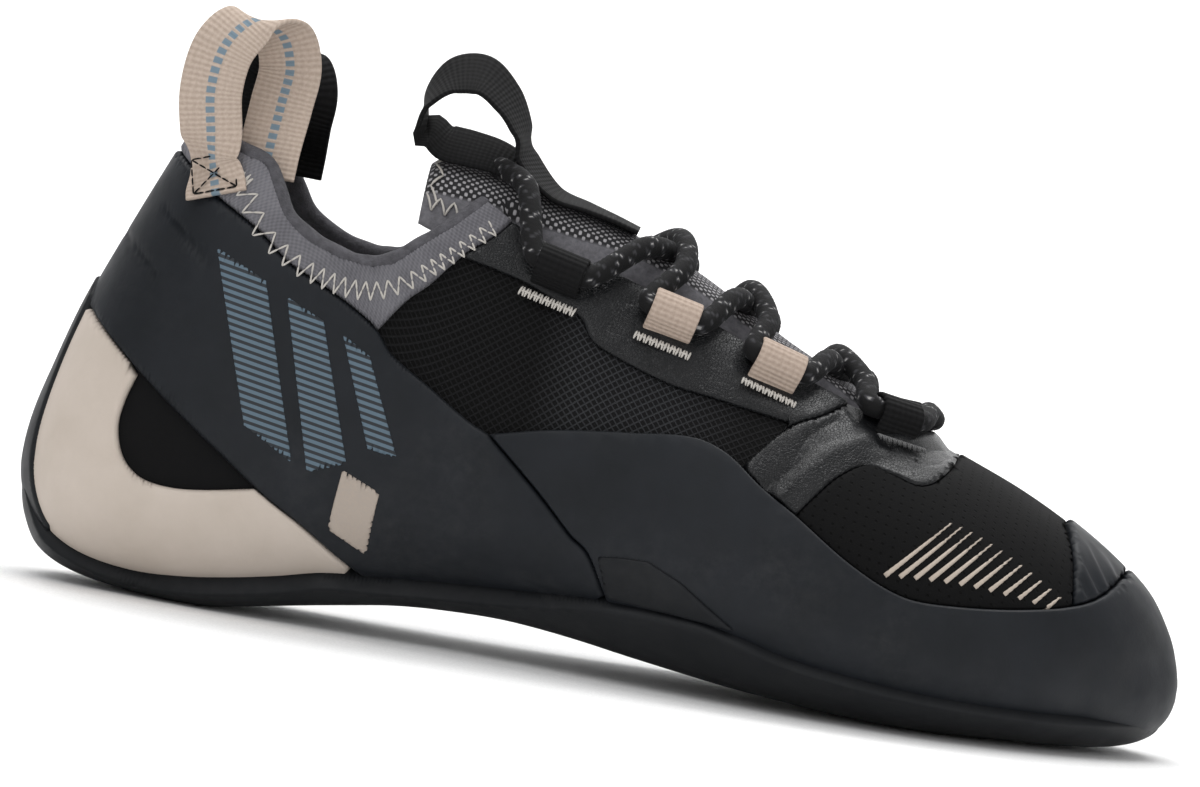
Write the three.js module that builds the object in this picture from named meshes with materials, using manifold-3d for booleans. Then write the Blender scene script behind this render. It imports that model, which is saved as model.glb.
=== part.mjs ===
// A laced climbing shoe for the right foot, in millimetres.
// +X points to the toe, +Z up, and -Y to the outer (lateral) side. The origin is the middle of the
// heel's flat spot on the floor.
import * as THREE from 'three';
import { mergeVertices } from 'three/addons/utils/BufferGeometryUtils.js';
import Module from 'manifold-3d';

const wasm = await Module();
wasm.setup();

// Driving dimensions of the last
const LENGTH = 258;
const BALL_WIDTH = 86;
const INSTEP_HEIGHT = 96;
const HEEL_HEIGHT = 105;

// Thicknesses of the layers
const WALL = 2;
const SOLE_THICKNESS = 4.6;
const SOLE_SIDE = 2.3;
const INSOLE_THICKNESS = 2.5;
const RAND_THICKNESS = 1.9;
const BAND_THICKNESS = 1.7;
const CUP_THICKNESS = 1.6;
const CUFF_THICKNESS = 1.5;
const TOE_PATCH_THICKNESS = 1.5;
const WRAP_THICKNESS = 1;
const EYESTAY_THICKNESS = 1;
const TONGUE_THICKNESS = 4;
const WEBBING_THICKNESS = 1.2;

// Clearance between pieces that meet
const GAP = 0.3;

// Sizes of openings and trim
const LASTING_MARGIN = 13;
const THROAT_WIDTH = 27;
const HEEL_STRIP_WIDTH = 24;
const TONGUE_WIDTH = 41;
const LACE_DIAMETER = 5;
const LACE_LOOP_WIDTH = 11;
const HEEL_LOOP_WIDTH = 14;
const HEEL_LOOP_HEIGHT = 36;
const TONGUE_LOOP_WIDTH = 16;
const TONGUE_LOOP_HEIGHT = 21;

// Fineness of the surfaces
const STATIONS = 25;
const TURNS = 22;

// Share of the length that lies behind the origin
const BEHIND = 0.128;

const alongX = (at) => (at - BEHIND) * LENGTH;

// Heights follow HEEL_HEIGHT at the heel and INSTEP_HEIGHT from the instep on. The collar's back is
// this share of the height that the tables' shares are taken of.
const COLLAR_BACK = 1.094;
const HEEL_PART_ENDS = 0.14;
const INSTEP_PART_STARTS = 0.4;
function heightAt(at) {
  const step = (at - HEEL_PART_ENDS) / (INSTEP_PART_STARTS - HEEL_PART_ENDS);
  const t = Math.min(Math.max(step, 0), 1);
  const blend = t * t * (3 - 2 * t);
  return (1 - blend) * (HEEL_HEIGHT / COLLAR_BACK) + blend * INSTEP_HEIGHT;
}

// The last, a row for each upright section. at is a share of LENGTH from the heel, low, mid and
// high are shares of the height there, and lateral, medial and ridge are shares of BALL_WIDTH. base
// and crown are the powers of the section's curve below and above its widest height.
const LAST = [
  { at: 0, low: 0.27, mid: 0.27, high: 0.27, lateral: 0, medial: 0, ridge: 0, base: 2, crown: 1.8 },
  { at: 0.012, low: 0.156, mid: 0.276, high: 0.464, lateral: 0.14, medial: 0.14, ridge: 0, base: 2, crown: 1.8 },
  { at: 0.03, low: 0.096, mid: 0.281, high: 0.635, lateral: 0.227, medial: 0.227, ridge: 0, base: 2.1, crown: 1.75 },
  { at: 0.055, low: 0.066, mid: 0.281, high: 0.812, lateral: 0.29, medial: 0.29, ridge: 0, base: 2.2, crown: 1.75 },
  { at: 0.09, low: 0.051, mid: 0.281, high: 1.04, lateral: 0.326, medial: 0.328, ridge: 0, base: 2.3, crown: 1.75 },
  { at: 0.13, low: 0.045, mid: 0.281, high: 1.29, lateral: 0.343, medial: 0.347, ridge: 0, base: 2.4, crown: 1.75 },
  { at: 0.17, low: 0.047, mid: 0.286, high: 1.385, lateral: 0.349, medial: 0.352, ridge: 0, base: 2.4, crown: 1.8 },
  { at: 0.21, low: 0.066, mid: 0.292, high: 1.406, lateral: 0.349, medial: 0.349, ridge: 0, base: 2.4, crown: 1.8 },
  { at: 0.25, low: 0.086, mid: 0.302, high: 1.344, lateral: 0.349, medial: 0.341, ridge: 0, base: 2.3, crown: 1.8 },
  { at: 0.29, low: 0.106, mid: 0.312, high: 1.22, lateral: 0.352, medial: 0.33, ridge: -0.005, base: 2.3, crown: 1.85 },
  { at: 0.33, low: 0.123, mid: 0.328, high: 1.13, lateral: 0.36, medial: 0.323, ridge: -0.01, base: 2.2, crown: 1.9 },
  { at: 0.37, low: 0.132, mid: 0.344, high: 1.083, lateral: 0.37, medial: 0.32, ridge: -0.015, base: 2.2, crown: 1.9 },
  { at: 0.43, low: 0.135, mid: 0.354, high: 1.04, lateral: 0.392, medial: 0.326, ridge: -0.015, base: 2.2, crown: 1.95 },
  { at: 0.49, low: 0.123, mid: 0.344, high: 0.998, lateral: 0.422, medial: 0.343, ridge: -0.01, base: 2.3, crown: 2 },
  { at: 0.55, low: 0.103, mid: 0.318, high: 0.93, lateral: 0.456, medial: 0.376, ridge: 0, base: 2.4, crown: 2 },
  { at: 0.61, low: 0.085, mid: 0.286, high: 0.846, lateral: 0.486, medial: 0.41, ridge: 0.015, base: 2.5, crown: 2 },
  { at: 0.67, low: 0.068, mid: 0.26, high: 0.762, lateral: 0.505, medial: 0.448, ridge: 0.035, base: 2.6, crown: 2.05 },
  { at: 0.73, low: 0.053, mid: 0.24, high: 0.69, lateral: 0.506, medial: 0.48, ridge: 0.06, base: 2.7, crown: 2.1 },
  { at: 0.79, low: 0.045, mid: 0.227, high: 0.625, lateral: 0.477, medial: 0.494, ridge: 0.095, base: 2.8, crown: 2.1 },
  { at: 0.85, low: 0.046, mid: 0.217, high: 0.562, lateral: 0.398, medial: 0.488, ridge: 0.12, base: 2.8, crown: 2.15 },
  { at: 0.9, low: 0.049, mid: 0.206, high: 0.495, lateral: 0.29, medial: 0.457, ridge: 0.145, base: 2.7, crown: 2.2 },
  { at: 0.94, low: 0.055, mid: 0.198, high: 0.427, lateral: 0.163, medial: 0.41, ridge: 0.165, base: 2.6, crown: 2.2 },
  { at: 0.97, low: 0.069, mid: 0.193, high: 0.36, lateral: 0.035, medial: 0.35, ridge: 0.178, base: 2.4, crown: 2.2 },
  { at: 0.988, low: 0.097, mid: 0.188, high: 0.29, lateral: -0.07, medial: 0.29, ridge: 0.184, base: 2.2, crown: 2.1 },
  { at: 1, low: 0.188, mid: 0.188, high: 0.188, lateral: -0.186, medial: 0.186, ridge: 0.186, base: 2, crown: 2 },
];

// Seam lines as seen from the side. at is a share of LENGTH, up a share of the height there.
const SOLE_EDGE = [
  { at: -0.02, up: 0.3 }, { at: 0, up: 0.22 }, { at: 0.02, up: 0.112 }, { at: 0.04, up: 0.075 },
  { at: 0.07, up: 0.057 }, { at: 0.11, up: 0.054 }, { at: 0.15, up: 0.065 }, { at: 0.19, up: 0.085 },
  { at: 0.23, up: 0.112 }, { at: 0.27, up: 0.142 }, { at: 0.31, up: 0.158 }, { at: 0.36, up: 0.172 },
  { at: 0.44, up: 0.188 }, { at: 0.52, up: 0.203 }, { at: 0.6, up: 0.196 }, { at: 0.64, up: 0.177 },
  { at: 0.68, up: 0.152 }, { at: 0.73, up: 0.135 }, { at: 0.8, up: 0.119 }, { at: 0.9, up: 0.109 },
  { at: 1.02, up: 0.104 },
];
const BAND_LOW = [
  { at: -0.02, up: 0.76 }, { at: 0.035, up: 0.635 }, { at: 0.09, up: 0.518 }, { at: 0.13, up: 0.44 },
  { at: 0.17, up: 0.367 }, { at: 0.21, up: 0.295 }, { at: 0.25, up: 0.237 }, { at: 0.29, up: 0.172 },
  { at: 0.305, up: 0.15 },
];
const BAND_HIGH = [
  { at: 0.05, up: 1.06 }, { at: 0.083, up: 1.03 }, { at: 0.1, up: 1.005 }, { at: 0.127, up: 0.951 },
  { at: 0.17, up: 0.887 }, { at: 0.2, up: 0.827 }, { at: 0.23, up: 0.791 }, { at: 0.26, up: 0.751 },
  { at: 0.285, up: 0.708 }, { at: 0.3, up: 0.662 }, { at: 0.34, up: 0.598 }, { at: 0.375, up: 0.542 },
  { at: 0.395, up: 0.519 },
];
const BAND_TO_RAND = [
  { at: 0.395, up: 0.519 }, { at: 0.448, up: 0.403 }, { at: 0.48, up: 0.326 }, { at: 0.498, up: 0.292 },
  { at: 0.519, up: 0.203 },
];
const RAND_TOP = [
  { at: 0.395, up: 0.519 }, { at: 0.45, up: 0.554 }, { at: 0.52, up: 0.579 }, { at: 0.57, up: 0.59 },
  { at: 0.6, up: 0.566 }, { at: 0.635, up: 0.503 }, { at: 0.665, up: 0.458 }, { at: 0.72, up: 0.369 },
  { at: 0.765, up: 0.319 }, { at: 0.8, up: 0.312 }, { at: 0.87, up: 0.325 }, { at: 0.92, up: 0.352 },
  { at: 0.945, up: 0.401 }, { at: 0.957, up: 0.458 }, { at: 0.965, up: 0.56 },
];
const COLLAR = [
  { at: 0.05, up: 1.105 }, { at: 0.09, up: 1.094 }, { at: 0.15, up: 1.055 }, { at: 0.168, up: 1.037 },
  { at: 0.18, up: 0.984 }, { at: 0.19, up: 0.937 }, { at: 0.205, up: 0.904 }, { at: 0.225, up: 0.877 },
  { at: 0.26, up: 0.855 }, { at: 0.285, up: 0.867 }, { at: 0.31, up: 0.92 }, { at: 0.335, up: 0.977 },
  { at: 0.355, up: 1.031 }, { at: 0.37, up: 1.072 }, { at: 0.385, up: 1.116 },
];
const CUFF_FRONT = [
  { at: 0.285, up: 0.708 }, { at: 0.305, up: 0.785 }, { at: 0.322, up: 0.83 }, { at: 0.344, up: 0.903 },
  { at: 0.369, up: 0.961 }, { at: 0.389, up: 1.025 }, { at: 0.41, up: 1.1 },
];
const EYESTAY_LOW = [
  { at: 0.344, up: 0.903 }, { at: 0.4, up: 0.87 }, { at: 0.438, up: 0.83 }, { at: 0.455, up: 0.81 },
  { at: 0.466, up: 0.77 }, { at: 0.48, up: 0.748 }, { at: 0.539, up: 0.698 }, { at: 0.581, up: 0.682 },
  { at: 0.645, up: 0.655 },
];
const WRAP_BACK = [
  { at: 0.614, up: 0.546 }, { at: 0.647, up: 0.646 }, { at: 0.676, up: 0.685 }, { at: 0.7, up: 0.74 },
  { at: 0.71, up: 0.9 },
];
const TOE_FABRIC_BACK = [
  { at: 0.666, up: 0.456 }, { at: 0.681, up: 0.51 }, { at: 0.696, up: 0.556 }, { at: 0.718, up: 0.59 },
  { at: 0.74, up: 0.576 }, { at: 0.767, up: 0.56 }, { at: 0.785, up: 0.59 }, { at: 0.8, up: 0.7 },
];
const TOE_PATCH_BACK = [
  { at: 0.845, up: 0.7 }, { at: 0.853, up: 0.59 }, { at: 0.875, up: 0.556 }, { at: 0.889, up: 0.516 },
  { at: 0.901, up: 0.46 }, { at: 0.907, up: 0.39 }, { at: 0.909, up: 0.346 },
];

// A smooth curve through the rows of a table, by one of its columns
function through(rows, column, key, value) {
  let i = 0;
  while (i < rows.length - 2 && value > rows[i + 1][key]) i += 1;
  const slope = (j) => {
    const a = rows[Math.max(j - 1, 0)];
    const b = rows[Math.min(j + 1, rows.length - 1)];
    return (b[column] - a[column]) / (b[key] - a[key]);
  };
  const a = rows[i];
  const b = rows[i + 1];
  const span = b[key] - a[key];
  const t = Math.min(Math.max((value - a[key]) / span, 0), 1);
  const u = 1 - t;
  const keep = a[column] * (1 + 2 * t) * u * u + b[column] * t * t * (3 - 2 * t);
  return keep + span * t * u * (slope(i) * u - slope(i + 1) * t);
}

// The last's rows are joined along the angle of a half turn, which rounds both of its ends.
const halfTurn = (at) => Math.acos(1 - 2 * Math.min(Math.max(at, 0), 1)) / Math.PI;
const SECTIONS = LAST.map((row) => ({ ...row, angle: halfTurn(row.at) }));

function sectionAt(at) {
  const angle = halfTurn(at);
  const share = (column) => through(SECTIONS, column, 'angle', angle);
  return {
    x: alongX(at),
    low: share('low') * heightAt(at),
    mid: share('mid') * heightAt(at),
    high: share('high') * heightAt(at),
    lateral: -share('lateral') * BALL_WIDTH,
    medial: share('medial') * BALL_WIDTH,
    ridge: share('ridge') * BALL_WIDTH,
    base: share('base'),
    crown: share('crown'),
  };
}

// A point of the last. turn runs from the ridge over the lateral side, below and back: 0 to 1.
function lastPoint(at, turn) {
  const s = sectionAt(at);
  const angle = turn * 2 * Math.PI;
  const up = Math.cos(angle);
  const power = 2 / (up > 0 ? s.crown : s.base);
  const out = Math.abs(Math.sin(angle)) ** power;
  const rise = Math.abs(up) ** power;
  const middle = up > 0 ? s.ridge : (s.lateral + s.medial) / 2;
  const edge = turn < 0.5 ? s.lateral : s.medial;
  const end = up > 0 ? s.high : s.low;
  return new THREE.Vector3(s.x, middle + (edge - middle) * out, s.mid + (end - s.mid) * rise);
}

const NUDGE = 0.002;
function lastNormal(at, turn) {
  if (at <= 0) return new THREE.Vector3(-1, 0, 0);
  if (at >= 1) return new THREE.Vector3(1, 0, 0);
  const near = Math.max(at - NUDGE, 0.0005);
  const far = Math.min(at + NUDGE, 0.9995);
  const along = lastPoint(far, turn).sub(lastPoint(near, turn));
  const around = lastPoint(at, turn + NUDGE).sub(lastPoint(at, turn - NUDGE + (turn < NUDGE ? 1 : 0)));
  return around.cross(along).normalize();
}

// Stations along the last, closer together towards its two ends
const stations = [];
for (let i = 0; i <= STATIONS; i += 1) {
  const even = i / STATIONS;
  stations.push(0.3 * even + 0.7 * (1 - Math.cos(Math.PI * even)) / 2);
}

function solidOf(geometry) {
  const bare = geometry.clone();
  bare.deleteAttribute('normal');
  bare.deleteAttribute('uv');
  const merged = mergeVertices(bare, 1e-5);
  return new wasm.Manifold(new wasm.Mesh({
    numProp: 3,
    vertProperties: new Float32Array(merged.attributes.position.array),
    triVerts: new Uint32Array(merged.index.array),
  }));
}

function closedSolid(points, faces) {
  const positions = new Float32Array(points.length * 3);
  points.forEach((p, i) => p.toArray(positions, 3 * i));
  return new wasm.Manifold(new wasm.Mesh({
    numProp: 3,
    vertProperties: positions,
    triVerts: new Uint32Array(faces),
  }));
}

// The last grown by a depth, which may depend on the surface's normal
function grown(depth) {
  const depthOf = typeof depth === 'function' ? depth : () => depth;
  const place = (at, turn) => {
    const normal = lastNormal(at, turn);
    return lastPoint(at, turn).addScaledVector(normal, depthOf(normal));
  };
  const points = [place(0, 0)];
  for (let i = 1; i < STATIONS; i += 1) {
    for (let j = 0; j < TURNS; j += 1) points.push(place(stations[i], j / TURNS));
  }
  points.push(place(1, 0));
  const faces = [];
  const last = points.length - 1;
  const corner = (i, j) => 1 + (i - 1) * TURNS + (j % TURNS);
  for (let j = 0; j < TURNS; j += 1) {
    faces.push(0, corner(1, j + 1), corner(1, j));
    faces.push(last, corner(STATIONS - 1, j), corner(STATIONS - 1, j + 1));
    for (let i = 1; i < STATIONS - 1; i += 1) {
      faces.push(corner(i, j), corner(i + 1, j + 1), corner(i + 1, j));
      faces.push(corner(i, j), corner(i, j + 1), corner(i + 1, j + 1));
    }
  }
  return closedSolid(points, faces);
}


// Points of a seam line from one share of the length to another. Pieces that share a seam get the
// same points, because they lie at its rows and halfway between rows that are far apart.
const FAR_APART = 0.032;
function seam(rows, from, to) {
  const low = Math.min(from, to);
  const high = Math.max(from, to);
  const shares = [low, high];
  rows.forEach((row, i) => {
    shares.push(row.at);
    if (i > 0 && row.at - rows[i - 1].at > FAR_APART) shares.push((row.at + rows[i - 1].at) / 2);
  });
  const inside = shares.filter((at) => at >= low && at <= high).sort((a, b) => a - b);
  const kept = inside.filter((at, i) => i === 0 || at - inside[i - 1] > 0.002);
  const points = kept.map((at) => [alongX(at), through(rows, 'up', 'at', at) * heightAt(at)]);
  return from <= to ? points : points.reverse();
}
const wholeSeam = (rows) => seam(rows, rows[0].at, rows[rows.length - 1].at);
const spot = (at, up) => [alongX(at), up * heightAt(at)];

// An outline with each side moved inwards by a distance
function inset(outline, distance) {
  const clean = outline.filter((p, i) => {
    const q = outline[(i + 1) % outline.length];
    return Math.hypot(p[0] - q[0], p[1] - q[1]) > 0.01;
  });
  const turnSign = Math.sign(THREE.ShapeUtils.area(clean.map((p) => new THREE.Vector2(p[0], p[1]))));
  return clean.map((p, i) => {
    const before = clean[(i + clean.length - 1) % clean.length];
    const after = clean[(i + 1) % clean.length];
    const a = new THREE.Vector2(p[0] - before[0], p[1] - before[1]).normalize();
    const b = new THREE.Vector2(after[0] - p[0], after[1] - p[1]).normalize();
    const normal = new THREE.Vector2(-(a.y + b.y), a.x + b.x).normalize();
    const reach = distance / Math.max(0.5, normal.x * -a.y + normal.y * a.x);
    return [p[0] + normal.x * reach * turnSign, p[1] + normal.y * reach * turnSign];
  });
}

const FAR = 2 * INSTEP_HEIGHT;
const shapeOf = (outline) => new THREE.Shape(outline.map((p) => new THREE.Vector2(p[0], p[1])));

// A block whose outline is seen from the side, between two values of y
function sideBlock(outline, from = -FAR, to = FAR) {
  const block = new THREE.ExtrudeGeometry(shapeOf(outline), { depth: to - from, bevelEnabled: false });
  block.rotateX(Math.PI / 2);
  block.translate(0, to, 0);
  return solidOf(block);
}

// A block whose outline is seen from above, between two heights
function topBlock(outline, from, to) {
  const block = new THREE.ExtrudeGeometry(shapeOf(outline), { depth: to - from, bevelEnabled: false });
  block.translate(0, 0, from);
  return solidOf(block);
}

// A block whose outline is seen from the heel, with y across, between two values of x
function endBlock(outline, from, to) {
  const block = new THREE.ExtrudeGeometry(shapeOf(outline), { depth: to - from, bevelEnabled: false });
  block.rotateX(Math.PI / 2);
  block.rotateZ(Math.PI / 2);
  block.translate(from, 0, 0);
  return solidOf(block);
}

// Forms that all pieces are cut from
const OUTSIDE = GAP;
const outer = grown(0);
const inner = grown(-WALL);
const clearOuter = grown(OUTSIDE);
const clearInner = grown(-WALL - GAP);
const layer = (thickness) => grown(OUTSIDE + thickness).subtract(clearOuter);

// Throat: a slot that is open at the collar and round at its toe end
const THROAT_END = 0.762;
const THROAT = [
  { at: 0.33, half: 0.36 }, { at: 0.4, half: 0.47 }, { at: 0.5, half: 0.5 }, { at: 0.6, half: 0.5 },
  { at: 0.67, half: 0.43 }, { at: 0.72, half: 0.3 }, { at: 0.75, half: 0.16 }, { at: 0.762, half: 0 },
];
function throatOutline(extra) {
  const near = [];
  const far = [];
  for (const row of THROAT) {
    const middle = sectionAt(row.at).ridge;
    const half = row.half * THROAT_WIDTH;
    const shift = row.at === THROAT_END ? extra : 0;
    near.push([alongX(row.at) + shift, middle - half - (row.half > 0 ? extra : 0)]);
    if (row.half > 0) far.unshift([alongX(row.at) + shift, middle + half + extra]);
  }
  const start = alongX(0.25);
  const wide = 0.36 * THROAT_WIDTH + extra;
  return [[start, -wide], ...near, ...far, [start, wide]];
}
const ABOVE = 0.5 * INSTEP_HEIGHT;
const throatBlock = (extra) => topBlock(throatOutline(extra), ABOVE, FAR);

// Collar: all above its line
const collarOutline = [
  ...wholeSeam(COLLAR),
  [alongX(0.385), FAR],
  [alongX(-0.1), FAR],
  spot(-0.1, 1.105),
];
const collarBlock = sideBlock(collarOutline);

// Underside: open inside the lasting margin
function soleOpening() {
  const near = [];
  const far = [];
  for (let i = 0; i <= 12; i += 1) {
    const at = 0.07 + 0.86 * (i / 12);
    const s = sectionAt(at);
    near.push([s.x, Math.min(s.lateral + LASTING_MARGIN, (s.lateral + s.medial) / 2 - 3)]);
    far.unshift([s.x, Math.max(s.medial - LASTING_MARGIN, (s.lateral + s.medial) / 2 + 3)]);
  }
  return topBlock([...near, ...far], -SOLE_THICKNESS, 0.24 * INSTEP_HEIGHT);
}

const openings = throatBlock(0).add(collarBlock);
const upperSolid = outer.subtract(inner).subtract(openings).subtract(soleOpening());

// Outsole: grown more below than at its sides, flat where it would pass the floor
const soleDepth = (normal) => {
  const down = Math.min(Math.max((-normal.z - 0.15) / 0.6, 0), 1);
  return SOLE_SIDE + (SOLE_THICKNESS - SOLE_SIDE) * down * down * (3 - 2 * down);
};
const soleForm = grown(soleDepth).subtract(clearOuter);
const BELOW = -4 * SOLE_THICKNESS;
const belowEdge = (shift) => [
  ...wholeSeam(SOLE_EDGE).map(([x, z]) => [x, z + shift]),
  [alongX(1.1), 0],
  [alongX(1.1), BELOW],
  [alongX(-0.1), BELOW],
  spot(-0.1, 0.3),
];
const STRIP_TOP = 0.69;
const STRIP = [
  { up: 0.05, wide: 1.35 }, { up: 0.16, wide: 1.2 }, { up: 0.3, wide: 1 }, { up: 0.45, wide: 0.84 },
  { up: 0.6, wide: 0.7 }, { up: 0.66, wide: 0.6 }, { up: STRIP_TOP, wide: 0.35 },
];
function stripOutline(extra) {
  const half = STRIP.map((row) => [row.wide * HEEL_STRIP_WIDTH / 2 + extra,
    row.up * heightAt(0) + (row.up === STRIP_TOP ? extra : 0)]);
  return [...half, ...half.slice().reverse().map(([y, z]) => [-y, z])];
}
const stripBlock = (extra) => endBlock(stripOutline(extra), alongX(-0.2), alongX(0.09));
const floorCut = sideBlock([[-FAR, BELOW * 2], [FAR * 2, BELOW * 2], [FAR * 2, 0], [-FAR, 0]]);
const outsoleSolid = soleForm
  .intersect(sideBlock(belowEdge(-GAP / 2)).add(stripBlock(0)))
  .subtract(floorCut);

// Insole: lies on the lasting margin inside
function insoleOutline() {
  const above = [];
  for (let i = 0; i <= 24; i += 1) {
    const s = sectionAt(0.01 + 0.98 * (i / 24));
    above.push([s.x, s.low + WALL + GAP + INSOLE_THICKNESS]);
  }
  return [...above, [alongX(1), BELOW], [alongX(0), BELOW]];
}
const insoleSolid = clearInner.intersect(sideBlock(insoleOutline()));

// Overlays: outlines seen from the side, cut out of a layer that lies on the upper
const shellPiece = (thickness, blocks) => blocks.reduce(
  (piece, block) => piece.intersect(block),
  layer(thickness),
);
const trimmed = (outline) => inset(outline, GAP / 2);

const bandOutline = trimmed([
  ...wholeSeam(BAND_HIGH),
  ...seam(BAND_TO_RAND, 0.4, 0.519),
  ...seam(SOLE_EDGE, 0.517, 0.31),
  ...seam(BAND_LOW, 0.3, -0.02),
  spot(-0.1, 0.86),
  spot(-0.1, 1.12),
]);
const bandSolid = shellPiece(BAND_THICKNESS, [sideBlock(bandOutline)]).subtract(stripBlock(GAP));

const CUP_WINDOW = [
  { at: 0.088, up: 0.514 }, { at: 0.081, up: 0.45 }, { at: 0.079, up: 0.39 }, { at: 0.087, up: 0.325 },
  { at: 0.104, up: 0.285 }, { at: 0.13, up: 0.273 }, { at: 0.16, up: 0.28 }, { at: 0.195, up: 0.302 },
];
const cupOutline = trimmed([
  ...seam(BAND_LOW, -0.02, 0.085),
  ...CUP_WINDOW.map((row) => spot(row.at, row.up)),
  ...seam(BAND_LOW, 0.21, 0.298),
  ...seam(SOLE_EDGE, 0.295, -0.02),
  spot(-0.1, 0.3),
  spot(-0.1, 0.84),
]);
const cupShell = shellPiece(CUP_THICKNESS, [sideBlock(cupOutline)]).subtract(stripBlock(GAP));
const sideView = [[-FAR, BELOW], [2 * FAR, BELOW], [2 * FAR, FAR], [-FAR, FAR]];
const lateralHalf = sideBlock(sideView, -FAR, 0);
const medialHalf = sideBlock(sideView, 0, FAR);

const randOutline = trimmed([
  ...wholeSeam(RAND_TOP),
  spot(1.1, 0.62),
  spot(1.1, 0.1),
  ...seam(SOLE_EDGE, 1.02, 0.521),
  ...seam(BAND_TO_RAND, 0.517, 0.4),
]);
const randSolid = shellPiece(RAND_THICKNESS, [sideBlock(randOutline)]);

const patchOutline = trimmed([
  ...wholeSeam(TOE_PATCH_BACK),
  ...seam(RAND_TOP, 0.912, 0.965),
  spot(0.965, 0.8),
  spot(0.845, 0.8),
]);
const patchSolid = shellPiece(TOE_PATCH_THICKNESS, [sideBlock(patchOutline)]);

const cuffOutline = trimmed([
  ...seam(COLLAR, 0.05, 0.385),
  spot(0.4, 1.2),
  ...wholeSeam(CUFF_FRONT).reverse(),
  ...seam(BAND_HIGH, 0.283, 0.05),
  spot(0, 1.075),
  spot(0, 1.105),
]);
const cuffSolid = shellPiece(CUFF_THICKNESS, [sideBlock(cuffOutline)]).subtract(throatBlock(0));

const eyestayOutline = trimmed([
  ...seam(CUFF_FRONT, 0.41, 0.346),
  ...wholeSeam(EYESTAY_LOW),
  ...seam(WRAP_BACK, 0.652, 0.71),
]);
const eyestayShell = shellPiece(EYESTAY_THICKNESS, [sideBlock(eyestayOutline)]).subtract(throatBlock(0));

const wrapOutline = trimmed([
  ...wholeSeam(WRAP_BACK),
  spot(0.8, 0.9),
  ...wholeSeam(TOE_FABRIC_BACK).reverse(),
  ...seam(RAND_TOP, 0.664, 0.62),
]);
const wrapSolid = shellPiece(WRAP_THICKNESS, [sideBlock(wrapOutline)]).subtract(throatBlock(0));

// A point over the last at a given y, on its top half
function overLast(at, y, depth) {
  const s = sectionAt(at);
  let [low, high] = y < s.ridge ? [0, 0.25] : [0.75, 1];
  for (let i = 0; i < 40; i += 1) {
    const turn = (low + high) / 2;
    if (lastPoint(at, turn).y > y) low = turn;
    else high = turn;
  }
  const turn = (low + high) / 2;
  const normal = lastNormal(at, turn);
  return { point: lastPoint(at, turn).addScaledVector(normal, depth), normal };
}

// Tongue, a row for each section across it. lift is the height of its top over the last, as a
// share of TONGUE_THICKNESS, and roll, in degrees, raises its medial edge.
const TONGUE = [
  { at: 0.3, up: 1.112, half: 0.36, roll: 14 },
  { at: 0.315, up: 1.108, half: 0.37, roll: 14 },
  { at: 0.34, up: 1.1, half: 0.38, roll: 13 },
  { at: 0.37, up: 1.088, half: 0.42, roll: 11 },
  { at: 0.42, up: 1.055, half: 0.46, roll: 6 },
  { at: 0.48, up: 1.014, half: 0.5, roll: 0 },
  { at: 0.54, up: 0.953, half: 0.5, roll: 0 },
  { at: 0.6, up: 0.87, half: 0.5, roll: 0 },
  { at: 0.66, up: 0.786, half: 0.46, roll: 0 },
  { at: 0.71, up: 0.724, half: 0.38, roll: 0 },
  { at: 0.745, up: 0.68, half: 0.3, roll: 0 },
];
const TONGUE_SHARES = [-1, -0.8, -0.6, -0.35, 0, 0.35, 0.6, 0.8, 1];
const LEAST_ARCH_AT = 0.37;
const throatHalf = (at) => through(THROAT, 'half', 'at', Math.max(at, THROAT[0].at)) * THROAT_WIDTH;
const tongueAt = (column, at) => through(TONGUE, column, 'at', at);

// The tongue's top at a share of its half width. It bulges in the throat and dips under its edges.
function tongueTop(at, share) {
  const s = sectionAt(Math.max(at, LEAST_ARCH_AT));
  const reach = tongueAt('half', at) * TONGUE_WIDTH;
  const across = share * reach;
  const side = across < 0 ? s.ridge - s.lateral : s.medial - s.ridge;
  const drop = (s.high - s.mid) * (1 - (1 - Math.abs(across / side) ** s.crown) ** (1 / s.crown));
  const edge = throatHalf(at) - 1;
  const open = at < LEAST_ARCH_AT ? 1 : Math.min(Math.max((edge - Math.abs(across)) / (0.35 * edge), 0), 1);
  const dip = (1 - open * open * (3 - 2 * open)) * (WALL + 2 * GAP + 1.6);
  const centre = tongueAt('up', at) * heightAt(at);
  const roll = THREE.MathUtils.degToRad(tongueAt('roll', at));
  const ridge = sectionAt(at).ridge;
  const sunk = -drop - dip;
  return new THREE.Vector3(
    alongX(at),
    ridge + across * Math.cos(roll) - sunk * Math.sin(roll),
    centre + across * Math.sin(roll) + sunk * Math.cos(roll),
  );
}

// A closed solid between two sheets of points, rows by columns
function slab(top, bottom) {
  const rows = top.length;
  const columns = top[0].length;
  const points = [...top.flat(), ...bottom.flat()];
  const upper = (i, j) => i * columns + j;
  const lower = (i, j) => rows * columns + i * columns + j;
  const faces = [];
  const quad = (a, b, c, d) => faces.push(a, b, c, a, c, d);
  for (let i = 0; i < rows - 1; i += 1) {
    for (let j = 0; j < columns - 1; j += 1) {
      quad(upper(i, j), upper(i + 1, j), upper(i + 1, j + 1), upper(i, j + 1));
      quad(lower(i, j), lower(i, j + 1), lower(i + 1, j + 1), lower(i + 1, j));
    }
    quad(upper(i, 0), lower(i, 0), lower(i + 1, 0), upper(i + 1, 0));
    quad(upper(i + 1, columns - 1), lower(i + 1, columns - 1), lower(i, columns - 1), upper(i, columns - 1));
  }
  for (let j = 0; j < columns - 1; j += 1) {
    quad(upper(0, j + 1), lower(0, j + 1), lower(0, j), upper(0, j));
    quad(upper(rows - 1, j), lower(rows - 1, j), lower(rows - 1, j + 1), upper(rows - 1, j + 1));
  }
  const solid = closedSolid(points, faces);
  return solid.volume() > 0 ? solid : closedSolid(points, faces.reverse());
}

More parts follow.
